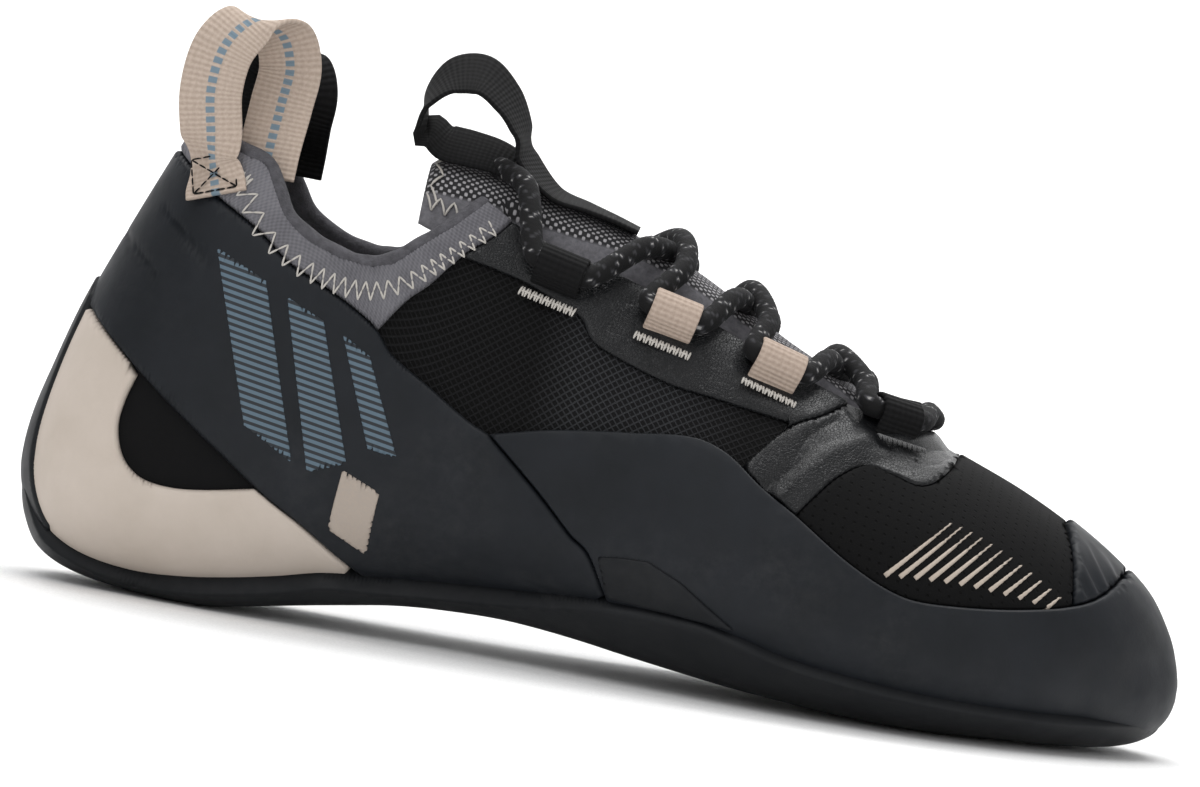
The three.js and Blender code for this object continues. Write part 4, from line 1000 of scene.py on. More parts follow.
# ---------------------------------------------------------------------------------------------
# Pieces cut to the last
# ---------------------------------------------------------------------------------------------
def soft_line(x, z, path, width):
    """1 on a side-view path of (x, z) in millimetres, falling softly to 0 at a width from it."""
    path = np.array(path, float)
    best = np.full(len(x), 1e9)
    points = np.stack([x, z], -1)
    for a, b in zip(path[:-1], path[1:]):
        along = b - a
        t = np.clip(((points - a) @ along) / (along @ along), 0, 1)
        best = np.minimum(best, np.linalg.norm(points - a - t[:, None] * along, axis=1))
    return np.exp(-((best / width) ** 2))


# Creases of the vamp: path in the side view, half width and height (negative is a trough)
VAMP_CREASES = (
    (((131.5, 49), (136, 54), (139, 60), (144, 64)), 1.5, -0.75),
    (((134, 46), (139, 52), (144, 58), (151, 62)), 1.8, 0.55),
    (((146, 68), (152, 63), (158, 60), (166, 60)), 1.4, -0.6),
    (((140, 46), (146, 52), (152, 57), (160, 57.5), (170, 60)), 1.3, -0.35),
    (((150, 66), (158, 62), (168, 63), (178, 62)), 1.5, 0.45),
    (((166, 60), (174, 62), (183, 60), (190, 56)), 1.3, -0.5),
    (((172, 64), (180, 62), (190, 59)), 1.2, 0.35),
)
# Slits in the band's top edge, charted the same way
BAND_SLITS = (
    (((-10.2, 84.9), (-4.5, 80.8), (0.9, 76.6)), 0.75, -0.4),
    (((-18, 77.5), (-13.5, 74.4), (-9.4, 71.1)), 0.75, -0.4),
)


CREASE_GAIN = 1.7  # how much deeper than in the tables the creases are made


def creases(table):
    def relief(x, z, at, v):
        total = np.zeros(len(x))
        for path, width, height in table:
            total += CREASE_GAIN * height * soft_line(x, z, path, width)
        return total
    return relief


def soft_waves(seed, height, scale):
    """Low uneven waves over the last, from a few sines."""
    picks = random.Random(seed)
    terms = [(picks.uniform(-1, 1), picks.uniform(-1, 1), picks.uniform(0, 6.28)) for _ in range(7)]

    def relief(x, z, at, v):
        girth = v * FLAT_V
        total = sum(np.sin((x * a + girth * b) * 2 * math.pi / scale + c) for a, b, c in terms)
        return height * total / len(terms)
    return relief


# Seed, height and length of the waves, for pieces that lie on each other
BAND_WAVES, TOE_WAVES, RAND_WAVES = (4, 0.18, 46), (33, 0.25, 40), (14, 0.22, 52)


def added(*reliefs):
    return lambda x, z, at, v: sum(relief(x, z, at, v) for relief in reliefs)


def crossing_at(points):
    """Share of the length where a cut line ends."""
    return points[-1, 0]


def build_upper():
    halves = []
    for side in SIDES:
        front_line = throat_cut(COLLAR_SIDE, side)
        throat = throat_line(crossing_at(front_line), THROAT_END, side)
        back = to_ridge(COLLAR_BACK, side)[::-1]
        halves.append(joined(back, on_side(front_line, side), throat))
    mouth = closed(joined(halves[0], halves[1][::-1][1:]))
    count = int(FLAT_STEPS[-1] / 2.6)
    ats = np.interp(np.linspace(0, FLAT_STEPS[-1], count + 1), FLAT_STEPS, AT_STEPS)
    vs = np.linspace(-0.5, 0.5, 90)
    outline = joined(pairs(ats, -0.5), pairs(1.0, vs), pairs(ats[::-1], 0.5),
                     pairs(0.0, vs[::-1])[:-1])
    reals = [np.zeros(len(outline), bool), np.ones(len(mouth), bool)]
    shell = panel("upper_shell", [outline, mouth], -1.0, 0.0, 0.9,
                  (MATERIALS["mesh"], MATERIALS["lining"]), spacing=2.3, reals=reals, inner=-WALL)
    declare(shell, "upper_fabric", "upper")


SOLE_CORNER = 1.7  # how far the sole sheet's cut edge stands out under the shoe


def build_outsole():
    back = bottom_cut(line(SOLE_EDGE, 0.2, -0.02))
    front = bottom_cut(line(SOLE_EDGE, 0.2, 1.0))
    half = joined(on_side(back[::-1], LATERAL), on_side(front, LATERAL))
    half[0, 1] = half[-1, 1] = -0.5
    other = half[::-1].copy()
    other[:, 1] = -1 - other[:, 1]

    def sole_depth(normals):
        down = np.clip((-normals[:, 2] - 0.15) / 0.6, 0, 1)
        return SOLE_SIDE + (SOLE_BELOW - SOLE_SIDE) * down * down * (3 - 2 * down)

    def cut_edge(x, z, at, v):
        """The sheet's lower outer edge stands out, less towards the toe."""
        fade = np.clip((190 - x) / 60, 0, 1) * np.clip((x + 18) / 30, 0, 1)
        return SOLE_CORNER * fade * np.exp(-(((np.abs(v + 0.5) - 0.085) / 0.05) ** 2))

    sole = panel("outsole", [joined(half, other[1:-1])], LIFT, sole_depth, 0.55,
                 MATERIALS["sole"], spacing=1.9, relief=cut_edge)
    declare(sole, "rubber", "outsole")


def fullness(s, z):
    """The share of its full half width that a section has at a height."""
    if z >= s["mid"]:
        reach, power = (z - s["mid"]) / (s["high"] - s["mid"]), s["crown"]
    else:
        reach, power = (s["mid"] - z) / (s["mid"] - s["low"]), s["base"]
    return (1 - np.clip(reach, 0, 1) ** power) ** (1 / power)


STRIP_FOOT = 0.13  # share of HEIGHT where the strip runs into the sole's edge


def strip_loop():
    """The heel strip's outline on the back of the heel, as (at, v)."""
    rows = np.array(STRIP)
    ups = np.concatenate([np.linspace(STRIP_FOOT, 0.66, 46), np.linspace(0.665, 0.69, 5)])
    halves = np.interp(ups, rows[:, 0], rows[:, 1]) * STRIP_WIDTH / 2
    side = []
    for up, half in zip(ups, halves):
        z = up * HEIGHT
        low, high = 0.0002, 0.06
        for _ in range(40):
            at = (low + high) / 2
            s = section(at)
            low, high = (low, at) if s["medial"] * fullness(s, z) > half else (at, high)
        side.append((at, float(spot_v(np.array(at), np.array(z), MEDIAL))))
    return np.array(side)


def round_pole(half, pole):
    """A closed outline round an end of the last, and which of its segments are real edges.

    half starts on the ridge and ends on the underside, on the lateral side.
    """
    half = half.copy()
    half[0, 1], half[-1, 1] = 0, -0.5
    ends = np.linspace(half[-1, 0], pole, 8)[1:]
    wall = pairs(ends, -0.5)
    cap = pairs(pole, np.linspace(-0.5, 0.5, 17)[1:-1])
    other = half[::-1] * (1, -1)
    loop = np.vstack([half, wall, cap, wall[::-1] * (1, -1), other[:-1]])
    real = np.zeros(len(loop), bool)
    real[:len(half) - 1] = True
    real[len(loop) - len(other) + 1:] = True
    return loop, real


def build_heel_strip():
    side = strip_loop()[::-1] * (1, -1)
    across = pairs(side[0, 0], np.linspace(0, side[0, 1], 5)[:-1])
    lowest = np.linspace(0.001, 0.06, 400)
    foot_at = float(np.interp(-STRIP_FOOT * HEIGHT, -section(lowest)["low"], lowest))
    foot = pairs(np.linspace(side[-1, 0], foot_at, 8)[1:], np.linspace(side[-1, 1], -0.5, 8)[1:])
    loop, real = round_pole(joined(across, side, foot), 0.0)
    strip = panel("heel_strip", [loop], LIFT, SOLE_SIDE + 0.35, 1.0, MATERIALS["sole"],
                  spacing=1.5, reals=[real])
    declare(strip, "rubber", "outsole")


BOARD_THICK, BOARD_GAP = 2.5, 1.2  # of the insole, and its clearance to the wall


def build_insole():
    rings, uv = [], []
    shares = np.linspace(0, 1, 9)
    for at in np.linspace(0.03, 0.965, 70):
        s = section(at)
        low = s["low"] + WALL + LIFT
        middle = (s["lateral"] + s["medial"]) / 2
        points = []
        for z, order in ((low + BOARD_THICK, shares), (low + 0.4, 1 - shares)):
            out = fullness(s, z)
            left = middle + (s["lateral"] - middle) * out + WALL + BOARD_GAP
            right = middle + (s["medial"] - middle) * out - WALL - BOARD_GAP
            points += [(along_x(at), y, z) for y in left + (right - left) * order]
        rings.append(points)
        uv.append([(p[0], p[1]) for p in points])
    declare(sweep("insole_board", rings, uv, MATERIALS["board"]), "insole_board", "insole")


def build_heel_band():
    half = joined(
        to_ridge(BAND_BACK, LATERAL)[::-1], on_side(BAND_SIDE, LATERAL),
        on_side(BAND_SEAM, LATERAL), on_side(line(UNDER_SOLE, 0.516, 0.31), LATERAL),
        to_ridge(BAND_FOOT, LATERAL),
    )
    band = panel("heel_band", [mirrored(half)], LIFT, BAND_THICK + LIFT, 1.1, MATERIALS["rubber"],
                 spacing=1.3, relief=added(soft_waves(*BAND_WAVES), creases(BAND_SLITS)))
    declare(band, "rubber", "heel_band")


# Plain slanted bars of a print film on the heel band: corners in the side view
FILM_BARS = (
    ((2.5, 80), (14.5, 74.5), (27, 36), (15, 42.5)),
    ((19.5, 72), (28.5, 68), (39, 38), (30.5, 34.5)),
    ((33, 66), (40, 62), (50, 41), (43, 42)),
)
# The bare badge plate in front of them
BADGE = ((37, 23.6), (46.2, 19.8), (47.4, 33), (38.3, 36.6))


def dense_outline(corners, step=1.2):
    points = []
    for a, b in zip(corners, corners[1:] + corners[:1]):
        count = max(int(math.dist(a, b) / step), 1)
        points += [[p + (q - p) * k / count for p, q in zip(a, b)] for k in range(count)]
    return np.array(points)


def side_patch(corners, side):
    """Corners (x, z) in millimetres as a closed (at, v) line."""
    points = dense_outline(corners)
    at = points[:, 0] / LENGTH + BEHIND
    return np.stack([at, spot_v(at, points[:, 1], side)], -1)


def join_pieces(name, pieces):
    bpy.ops.object.select_all(action="DESELECT")
    for piece in pieces:
        piece.select_set(True)
    bpy.context.view_layer.objects.active = pieces[0]
    bpy.ops.object.join()
    pieces[0].name = name
    bpy.ops.object.select_all(action="DESELECT")
    return pieces[0]


def on_band(name, corners, side, rise, rim, material):
    """A thin plate that stands a little out of the heel band."""
    top = LIFT + BAND_THICK
    return panel(name, [side_patch(corners, side)], top - 0.3, top + rise, rim, material,
                 spacing=1.2, relief=soft_waves(*BAND_WAVES))


def build_film():
    bars = []
    for side in SIDES:
        bars += [on_band("bar", corners, side, 0.2, 0.25, MATERIALS["film"])
                 for corners in FILM_BARS]
        badge = on_band("badge", BADGE, side, 0.35, 0.3, MATERIALS["badge"])
        badge.name = "badge_look" if side == LATERAL else "badge_medial_look"
        declare(badge, "pale_rubber")
    declare(join_pieces("heel_film_look", bars), "rubber")


def window_line():
    """The lower edge of the opening between the cup and the band: (at, height)."""
    rows = np.array(CUP_WINDOW)
    steps = np.hypot(np.diff(rows[:, 0]) * LENGTH, np.diff(rows[:, 1]) * HEIGHT)
    reach = np.concatenate([[0], np.cumsum(steps)])
    marks = np.linspace(0, reach[-1], int(reach[-1] / LINE_STEP))
    ats, ups = (curve(reach, rows[:, k])(marks) for k in (0, 1))
    return np.stack([ats, ups * HEIGHT], -1)


CUP_BACK = 0.004  # share of the length where the cup starts, under the heel strip


def build_heel_cup():
    low = bottom_cut(line(UNDER_SOLE, 0.292, -0.02))
    half = joined(
        to_ridge(part(BAND_FOOT, -0.02, 0.082), LATERAL)[::-1],
        on_side(window_line(), LATERAL),
        on_side(part(BAND_FOOT, 0.206, 0.296)[::-1], LATERAL),
        on_side(low, LATERAL)[:-1],
        np.array([(low[-1, 0], -0.5), (0.008, -0.5), (CUP_BACK, -0.5)]),
        pairs(CUP_BACK, np.linspace(-0.46, 0, 12)),
    )
    half[0, 1] = 0
    seam = pairs(np.linspace(CUP_BACK, half[0, 0], 22), 0.0)[1:-1]
    for side in SIDES:
        name = "heel_cup_" + SIDE_WORDS[side]
        cup = panel(name, [joined(half * (1, -side), seam)], LIFT, CUP_THICK + LIFT, 0.9,
                    MATERIALS["pale_rubber"], spacing=1.6, relief=soft_waves(9, 0.1, 30))
        declare(cup, "pale_rubber", name)


# The small lap on the rand at the arch: corners in the side view
RAND_LAP = (
    (97.8, 28.2), (103, 28.8), (109, 28.9), (117, 25.8), (124, 21.8), (130.5, 18.2),
    (116, 19.4), (101.2, 20.4),
)


def build_rand():
    half = joined(
        to_ridge(RAND_FRONT, LATERAL)[::-1], on_side(RAND_SIDE[::-1], LATERAL),
        on_side(BAND_SEAM, LATERAL), on_side(bottom_cut(line(UNDER_SOLE, 0.519, 1.0)), LATERAL),
    )
    loop, real = round_pole(half, 1.0)
    waves = soft_waves(*RAND_WAVES)

    def toe_corner(x, z, at, v):
        """The rand thickens downwards at the toe, to run flush into the sole's front."""
        low = np.clip((23 - z) / 13, 0, 1)
        return 2.1 * np.clip((at - 0.93) / 0.05, 0, 1) * low * low * (3 - 2 * low)

    def side_waves(x, z, at, v):
        """The waves, fading before the toe's tip."""
        return waves(x, z, at, v) * np.clip((0.98 - at) / 0.06, 0, 1)

    rand = panel("rand", [loop], LIFT, RAND_THICK + LIFT, 0.8, MATERIALS["rubber"], spacing=1.8,
                 relief=added(side_waves, toe_corner), reals=[real])
    declare(rand, "rubber", "rand")
    top = LIFT + RAND_THICK
    lap = panel("rand_lap", [side_patch(RAND_LAP, LATERAL)], top - 0.4, top + 0.8, 0.4,
                MATERIALS["sole"], spacing=1.1, relief=waves)
    declare(lap, "rubber")


def build_toe_patch():
    upper_edge = to_ridge(part(RAND_FRONT, 0.911, 1), LATERAL)
    half = joined(to_ridge(patch_back(), LATERAL)[::-1], upper_edge)

    def ribs(x, z, at, v):
        """A few low ribs near the outer edge."""
        zone = np.clip((x - 198) / 4, 0, 1) * np.clip((213 - x) / 4, 0, 1)
        zone = zone * np.clip((-v - 0.04) / 0.03, 0, 1)
        return 0.4 * zone * np.sin((x * 0.8 + z * 0.6) * 2 * math.pi / 2.4)

    patch = panel("toe_patch", [mirrored(half)], LIFT, PATCH_THICK + LIFT, 0.9,
                  MATERIALS["rubber"], spacing=1.0, relief=added(ribs, soft_waves(21, 0.12, 26)))
    declare(patch, "rubber", "toe_patch")


def steep_line(rows, close=1.3):
    """A seam line with steep parts, evenly by its own length: (at, height)."""
    rows = np.array(rows, float) * (1, HEIGHT)
    points = spline(rows * (LENGTH, 1), spacing=close)
    return points / (LENGTH, 1)


def patch_back():
    """The toe patch's back edge from the rand up to the ridge."""
    return steep_line(TOE_PATCH_BACK)[::-1]


def fabric_back():
    return steep_line(TOE_FABRIC_BACK)


def build_toe_fabric():
    middle = on_side(joined(part(RAND_SIDE, 0.668, 0.8), part(RAND_FRONT, 0.8, 0.907)), LATERAL)
    half = joined(to_ridge(fabric_back(), LATERAL)[::-1], middle, to_ridge(patch_back(), LATERAL))
    fabric = panel("toe_fabric", [mirrored(half)], 0.05, 0.75, 0.6, MATERIALS["toe"],
                   spacing=1.9, relief=soft_waves(*TOE_WAVES))
    declare(fabric, "upper_fabric")


STRIPES = 12


def stripe_outline(i):
    """One tapered bar of the toe: thick at the rand, thin at its upper end."""
    t = i / (STRIPES - 1)
    low = (160.0 + 35.6 * t, 33.9 - 2.3 * t + 1.4 * math.sin(math.pi * t))
    high = (173.0 + 26.2 * t, 47.6 - 12.4 * t ** 1.35)
    dx, dz = high[0] - low[0], high[1] - low[1]
    length = math.hypot(dx, dz)
    nx, nz = -dz / length, dx / length
    wide, thin = 0.62, 0.28
    return ((low[0] - nx * wide, low[1] - nz * wide), (low[0] + nx * wide, low[1] + nz * wide),
            (high[0] + nx * thin, high[1] + nz * thin), (high[0] - nx * thin, high[1] - nz * thin))


def build_toe_stripes():
    bars = [panel("bar", [side_patch(stripe_outline(i), side)], 0.4, 1.05, 0.32,
                  MATERIALS["pale_stripe"], spacing=1.2, relief=soft_waves(*TOE_WAVES))
            for side in SIDES for i in range(STRIPES)]
    declare(join_pieces("toe_stripes", bars), "pale_rubber")


def build_vamp():
    halves, ends = [], []
    for side in SIDES:
        back = throat_cut(steep_line(WRAP_BACK), side)
        ends.append(crossing_at(back))
        low = on_side(part(RAND_SIDE, 0.616, 0.664), side)
        halves.append(joined(on_side(back, side)[::-1], low, to_ridge(fabric_back(), side)))
    loop = closed(joined(
        joined(throat_line(THROAT_END, ends[0], LATERAL)), halves[0], halves[1][::-1][1:],
        throat_line(ends[1], THROAT_END, MEDIAL),
    ))
    wrap = panel("vamp_wrap", [loop], LIFT, WRAP_THICK + LIFT, 0.8, MATERIALS["facing"],
                 spacing=1.3, relief=added(creases(VAMP_CREASES), soft_waves(5, 0.3, 30)))
    declare(wrap, "smooth_facing", "vamp_wrap")


def build_eyestays():
    for side in SIDES:
        name = "eyestay_" + SIDE_WORDS[side]
        back = throat_cut(line(CUFF_FRONT, 0.346, 0.41), side)
        front = throat_cut(steep_line(WRAP_BACK)[8:], side)
        loop = joined(
            on_side(back, side)[::-1], on_side(line(EYESTAY_LOW, 0.346, 0.645), side),
            on_side(front, side),
            throat_line(crossing_at(front), crossing_at(back), side)[1:-1],
        )
        facing = panel(name, [loop], LIFT, EYESTAY_THICK + LIFT, 0.7, MATERIALS["facing"],
                       spacing=1.6, relief=soft_waves(8, 0.2, 28))
        declare(facing, "smooth_facing", name)


def collar_path(spacing):
    """The collar's edge from the throat's outer side round the back to its inner, as (at, v)."""
    halves = []
    for side in SIDES:
        front = on_side(throat_cut(COLLAR_SIDE, side), side)
        halves.append(joined(front[::-1], to_ridge(COLLAR_BACK, side)))
    path = joined(halves[0], halves[1][::-1][1:])
    return np.stack(domain_of(spline(flat_of(path[:, 0], path[:, 1]), spacing=spacing)), -1)


def build_cuff():
    halves = []
    for side in SIDES:
        collar = on_side(throat_cut(COLLAR_SIDE, side), side)
        front_line = throat_cut(line(CUFF_FRONT), side)
        throat = throat_line(collar[-1, 0], crossing_at(front_line), side)
        halves.append(joined(
            to_ridge(COLLAR_BACK, side)[::-1], collar, throat, on_side(front_line, side)[::-1],
            on_side(part(BAND_SIDE, 0.2, 0.283)[::-1], side), to_ridge(BAND_BACK, side),
        ))
    loop = joined(halves[0], halves[1][::-1][1:-1])
    cuff = panel("collar_cuff", [loop], LIFT - 0.1, CUFF_THICK + LIFT, 0.9, MATERIALS["cuff"],
                 spacing=1.8, relief=soft_waves(17, 0.35, 24))
    declare(cuff, "soft_lining", "collar_cuff")


ROLL_RADIUS, ROLL_CORE, ROLL_STEP = 2.05, 1.1, 1.2  # of the rolled edge, in millimetres


def build_collar_roll():
    path = collar_path(ROLL_STEP)
    centres = place(path[:, 0], path[:, 1], np.full(len(path), -0.2))
    normals = last_normal(path[:, 0], path[:, 1])
    up = unit(np.cross(tangents(centres), normals))
    if up[:, 2].mean() < 0:
        up = -up
    rings, uv = [], []
    angles = np.linspace(-0.15 * math.pi, math.pi, 13)
    for i, centre in enumerate(centres):
        swell = 1 + 0.06 * math.sin(i * 0.31) + 0.04 * math.sin(i * 0.83)
        turns = {a: normals[i] * math.cos(a) + up[i] * math.sin(a) for a in angles}
        ring = [centre + turns[a] * ROLL_RADIUS * swell for a in angles]
        ring += [centre - normals[i] * (ROLL_RADIUS - 0.02 * k) - up[i] * k for k in (3, 6, 9)]
        ring += [centre - normals[i] * 1.3 - up[i] * k for k in (9, 5, 2)]
        ring += [centre + turns[a] * ROLL_CORE for a in angles[::-3]]
        rings.append(ring)
        uv.append([(i * ROLL_STEP, k * 1.0) for k in range(len(ring))])
    declare(sweep("collar_roll", rings, uv, MATERIALS["binding"]), "soft_lining")


def collar_offsets(low, high, pitch):
    """Zigzag points over the cuff between two distances below the collar's edge."""
    path = collar_path(pitch / 2)
    points = last_point(path[:, 0], path[:, 1])
    normals = last_normal(path[:, 0], path[:, 1])
    down = unit(np.cross(normals, tangents(points)))
    if down[:, 2].mean() > 0:
        down = -down
    spots = []
    for i, (at, v) in enumerate(path):
        target = down[i] * (low if i % 2 else high)
        du = (last_point(at + FINE_NUDGE, v) - last_point(at - FINE_NUDGE, v)) / (2 * FINE_NUDGE)
        dv = (last_point(at, v + FINE_NUDGE) - last_point(at, v - FINE_NUDGE)) / (2 * FINE_NUDGE)
        matrix = np.array([[du @ du, du @ dv], [du @ dv, dv @ dv]])
        step = np.linalg.solve(matrix, np.array([du @ target, dv @ target]))
        spots.append((at + step[0], v + step[1]))
    return np.array(spots)


HEEL_END = 0.115  # share of the length behind which the band hides the thread


def build_collar_thread():
    spots = collar_offsets(4.2, 8.4, 2.8)[3:-3]
    depth = CUFF_THICK + LIFT + 0.12
    points = place(spots[:, 0], spots[:, 1], np.full(len(spots), depth))
    normals = last_normal(spots[:, 0], spots[:, 1])
    pieces = []
    for i in range(len(points) - 1):
        if spots[i, 0] < HEEL_END:
            continue
        middle = (spots[i] + spots[i + 1]) / 2
        centre = place(middle[0:1], middle[1:2], np.array([depth]))[0]
        pieces.append((points[i], centre, normals[i]))
        pieces.append((centre, points[i + 1], normals[i + 1]))
    thread = stitches("collar_stitching", pieces, 0.22, MATERIALS["thread"], arch=0.25)
    declare(thread, "soft_lining")


# ---------------------------------------------------------------------------------------------
# Tongue, straps and lace
# ---------------------------------------------------------------------------------------------
TONGUE_CURVES = [curve([row[0] for row in TONGUE], [row[k] for row in TONGUE]) for k in (1, 2, 3)]
LEAST_ARCH_AT = 0.37


def tongue_top(at, share):
    """A point on the tongue at a share of its half width."""
    s = section(max(at, LEAST_ARCH_AT))
    across = share * float(TONGUE_CURVES[1](at)) * TONGUE_WIDTH
    side = s["ridge"] - s["lateral"] if across < 0 else s["medial"] - s["ridge"]
    drop = (s["high"] - s["mid"]) * (1 - (1 - abs(across / side) ** s["crown"]) ** (1 / s["crown"]))
    edge = float(throat_half(max(at, THROAT[0][0]))) - 1
    open_share = 1 if at < LEAST_ARCH_AT else min(max((edge - abs(across)) / (0.35 * edge), 0), 1)
    dip = (1 - open_share * open_share * (3 - 2 * open_share)) * (WALL + 2 * LIFT + 1.6)
    roll = math.radians(float(TONGUE_CURVES[2](at)))
    sunk = -drop - dip
    ridge = float(section(at)["ridge"])
    return np.array((
        along_x(at),
        ridge + across * math.cos(roll) - sunk * math.sin(roll),
        float(TONGUE_CURVES[0](at)) * HEIGHT + across * math.sin(roll) + sunk * math.cos(roll),
    ))


TONGUE_STEPS, TONGUE_SIDES = 90, 56
TONGUE_BACK, TONGUE_RUN = 0.3, 0.445  # shares of the length: its top end, and its reach
STITCH_LIFT = np.array((0.0, 0.0, 0.5))
UP = np.array((0.0, 0.0, 1.0))


def rounding(steps_left, steps):
    """How far an end has reached its full thickness, a few steps from its tip."""
    return math.sqrt(max(1 - max(1 - steps_left / steps, 0) ** 2, 0.02))


def build_tongue():
    rings, uv = [], []
    picks = random.Random(3)
    waves = [(picks.uniform(0.5, 2.4), picks.uniform(0, 6.28), picks.uniform(1, 4))
             for _ in range(5)]
    for i in range(TONGUE_STEPS + 1):
        at = TONGUE_BACK + TONGUE_RUN * i / TONGUE_STEPS
        fade = min(1, rounding(i, 4), rounding(TONGUE_STEPS - i, 3))
        ring, ring_uv = [], []
        for k in range(TONGUE_SIDES):
            angle = 2 * math.pi * k / TONGUE_SIDES
            c, s = math.cos(angle), math.sin(angle)
            share = math.copysign(abs(c) ** 0.75, c)
            thinned = 1 - 0.3 * share * share
            half = 0.5 * TONGUE_THICK * thinned * fade * math.copysign(abs(s) ** 0.7, s)
            ripple = puff = 0.0
            if s > 0:
                ripple = 0.16 * sum(math.sin(a * share * 3 + at * f * 20 + p) for f, p, a in waves)
                puff = 0.9 * (1 - share * share) * fade
            rise = -0.5 * TONGUE_THICK * thinned + half + ripple * fade * 0.6 + puff * 0.3
            ring.append(tongue_top(at, share * 0.995) + np.array((0, 0, rise)))
            ring_uv.append((share * float(TONGUE_CURVES[1](at)) * TONGUE_WIDTH, along_x(at)))
        rings.append(ring)
        uv.append(ring_uv)
    declare(sweep("tongue", rings, uv, MATERIALS["tongue"]), "soft_lining", "tongue")


def build_tongue_thread():
    """Zigzags along both sides of the tongue's top and across its end."""
    ends = []
    marks = np.arange(0.303, 0.47, 0.0062)
    for edge_share in (-1, 1):
        for i in range(len(marks) - 1):
            near, far = (0.9, 0.74) if i % 2 else (0.74, 0.9)
            ends.append(((marks[i], edge_share * near), (marks[i + 1], edge_share * far)))
    for i in range(9):
        share = -0.82 + i * 0.2
        low, high = (0.3045, 0.3135) if i % 2 else (0.3135, 0.3045)
        ends.append(((low, share), (high, share + 0.2)))
    pieces = [(tongue_top(*a) + STITCH_LIFT, tongue_top(*b) + STITCH_LIFT, UP) for a, b in ends]
    thread = stitches("tongue_stitching", pieces, 0.27, MATERIALS["thread"], arch=0.3)
    declare(thread, "soft_lining")


def build_tongue_loop():
    centre, foot = along_x(0.33), 1.1 * HEIGHT
    lift = (0, 0, 0.75 + WEBBING_THICK / 2)
    path = [tongue_top(at, 0) + lift for at in (0.487, 0.465, 0.44, 0.41)]
    leans = [0, 0.02, 0.06, 0.14]
    for fore, up, lean in TONGUE_RING:
        path.append((centre + fore * TONGUE_LOOP_WIDTH, 0, foot + up * TONGUE_LOOP_HEIGHT))
        leans.append(lean)
    path += [(43.2, 0, 112.5), (46.5, 0, 110.6), (52, 0, 110), (58, 0, 109.3), (62.5, 0, 108)]
    leans += [0.45, 0.5, 0.5, 0.45, 0.4]
    across = [unit(np.array((0, 1, lean), float)) for lean in leans]
    loop = strap("tongue_loop", np.array(path), across, TONGUE_LOOP_WIDTH, WEBBING_THICK,
                 MATERIALS["dark_webbing"], steps=150)
    declare(loop, "dark_webbing", "tongue_loop")


def half_width(x, z, side):
    s = section(x / LENGTH + BEHIND)
    edge = abs(s["lateral"] if side < 0 else s["medial"])
    rise = min((z - s["mid"]) / (s["high"] - s["mid"]), 0.995)
    return float(edge * (1 - rise ** s["crown"]) ** (1 / s["crown"]))


def heel_loop_path(side, tall, shift):
    foot_x, foot_z = along_x(0.12) + shift, 0.953 * HEIGHT
    path, across = [], []
    for fore, up, wall, out, tip in HEEL_LOOP:
        x = foot_x + fore * HEEL_LOOP_WIDTH
        z = foot_z + up * HEEL_LOOP_HEIGHT * (tall if up > 0.3 else 1)
        step = 0.3 * HEEL_LOOP_WIDTH
        lean = (half_width(x + step, z, side) - half_width(x - step, z, side)) / (2 * step)
        outer = LIFT + BAND_THICK + 0.55 + WEBBING_THICK / 2
        gap = outer if wall > 0 else -(WALL + 1.1 + WEBBING_THICK / 2)
        y = out * WIDTH if wall == 0 else half_width(x, z, side) + gap
        path.append((x, side * y, z))
        across.append(unit(np.array((1, 0 if wall == 0 else side * lean, tip), float)))
    return np.array(path), across


def build_heel_loops():
    for side, tall, shift, finish, slot in (
        (LATERAL, 1, 0, "heel_webbing", "pale_webbing"),
        (MEDIAL, 0.8, 3, "dark_webbing", "dark_webbing"),
    ):
        path, across = heel_loop_path(side, tall, shift)
        name = "heel_loop_" + SIDE_WORDS[side]
        loop = strap(name, path, across, HEEL_LOOP_WIDTH, WEBBING_THICK, MATERIALS[finish],
                     steps=170, waviness=0.12)
        declare(loop, slot, name)


def build_box_stitch():
    """The stitched box with its cross, on the outer heel loop's foot."""
    path, across = heel_loop_path(LATERAL, 1, 0)
    foot, above = path[0], path[1]
    rise = unit(above - foot)
    wide = unit(across[0] - rise * (across[0] @ rise))
    out = unit(np.cross(rise, wide))
    if out[1] > 0:
        out = -out
    centre = (foot + above) / 2 + out * (WEBBING_THICK / 2 + 0.12) + rise * 1.0
    corners = [centre + wide * a * 5.0 + rise * b * 4.2
               for a, b in ((-1, -1), (1, -1), (1, 1), (-1, 1))]
    threads = []
    for i, k in ((0, 1), (1, 2), (2, 3), (3, 0), (0, 2), (1, 3)):
        a, b = corners[i], corners[k]
        count = max(int(np.linalg.norm(b - a) / 2.0), 3)
        threads += [(a + (b - a) * (n + 0.08) / count, a + (b - a) * (n + 0.92) / count, out)
                    for n in range(count)]
    box = stitches("heel_loop_stitching", threads, 0.2, MATERIALS["dark_webbing"], arch=0.15)
    declare(box, "pale_webbing")


LACE_RADIUS = LACE_DIAMETER / 2
LOOP_BASE = LIFT + EYESTAY_THICK + LIFT
LACE_DEPTH = LOOP_BASE + LIFT + LACE_RADIUS


def over_last(at, y, depth):
    v = across_v(np.array(at), np.array(y))
    return place(np.array(at), v, np.array(depth, float)), last_normal(np.array(at), v)


def lace_seat(row, side, shift=0.0):
    at = LACE_ROWS[row] + shift / LENGTH
    y = float(section(at)["ridge"]) + side * (float(throat_half(at)) + 0.8 * LACE_DIAMETER)
    return over_last(at, y, LACE_DEPTH)


def loop_axes(row, side):
    point, normal = lace_seat(row, side)
    ahead = unit(lace_seat(row, side, 3)[0] - lace_seat(row, side, -3)[0])
    normal = unit(normal - ahead * (normal @ ahead))
    down = unit(np.cross(normal, ahead))
    if down[1] * side < 0:
        down = -down
    return point - normal * (LIFT + LACE_RADIUS), down, normal, ahead


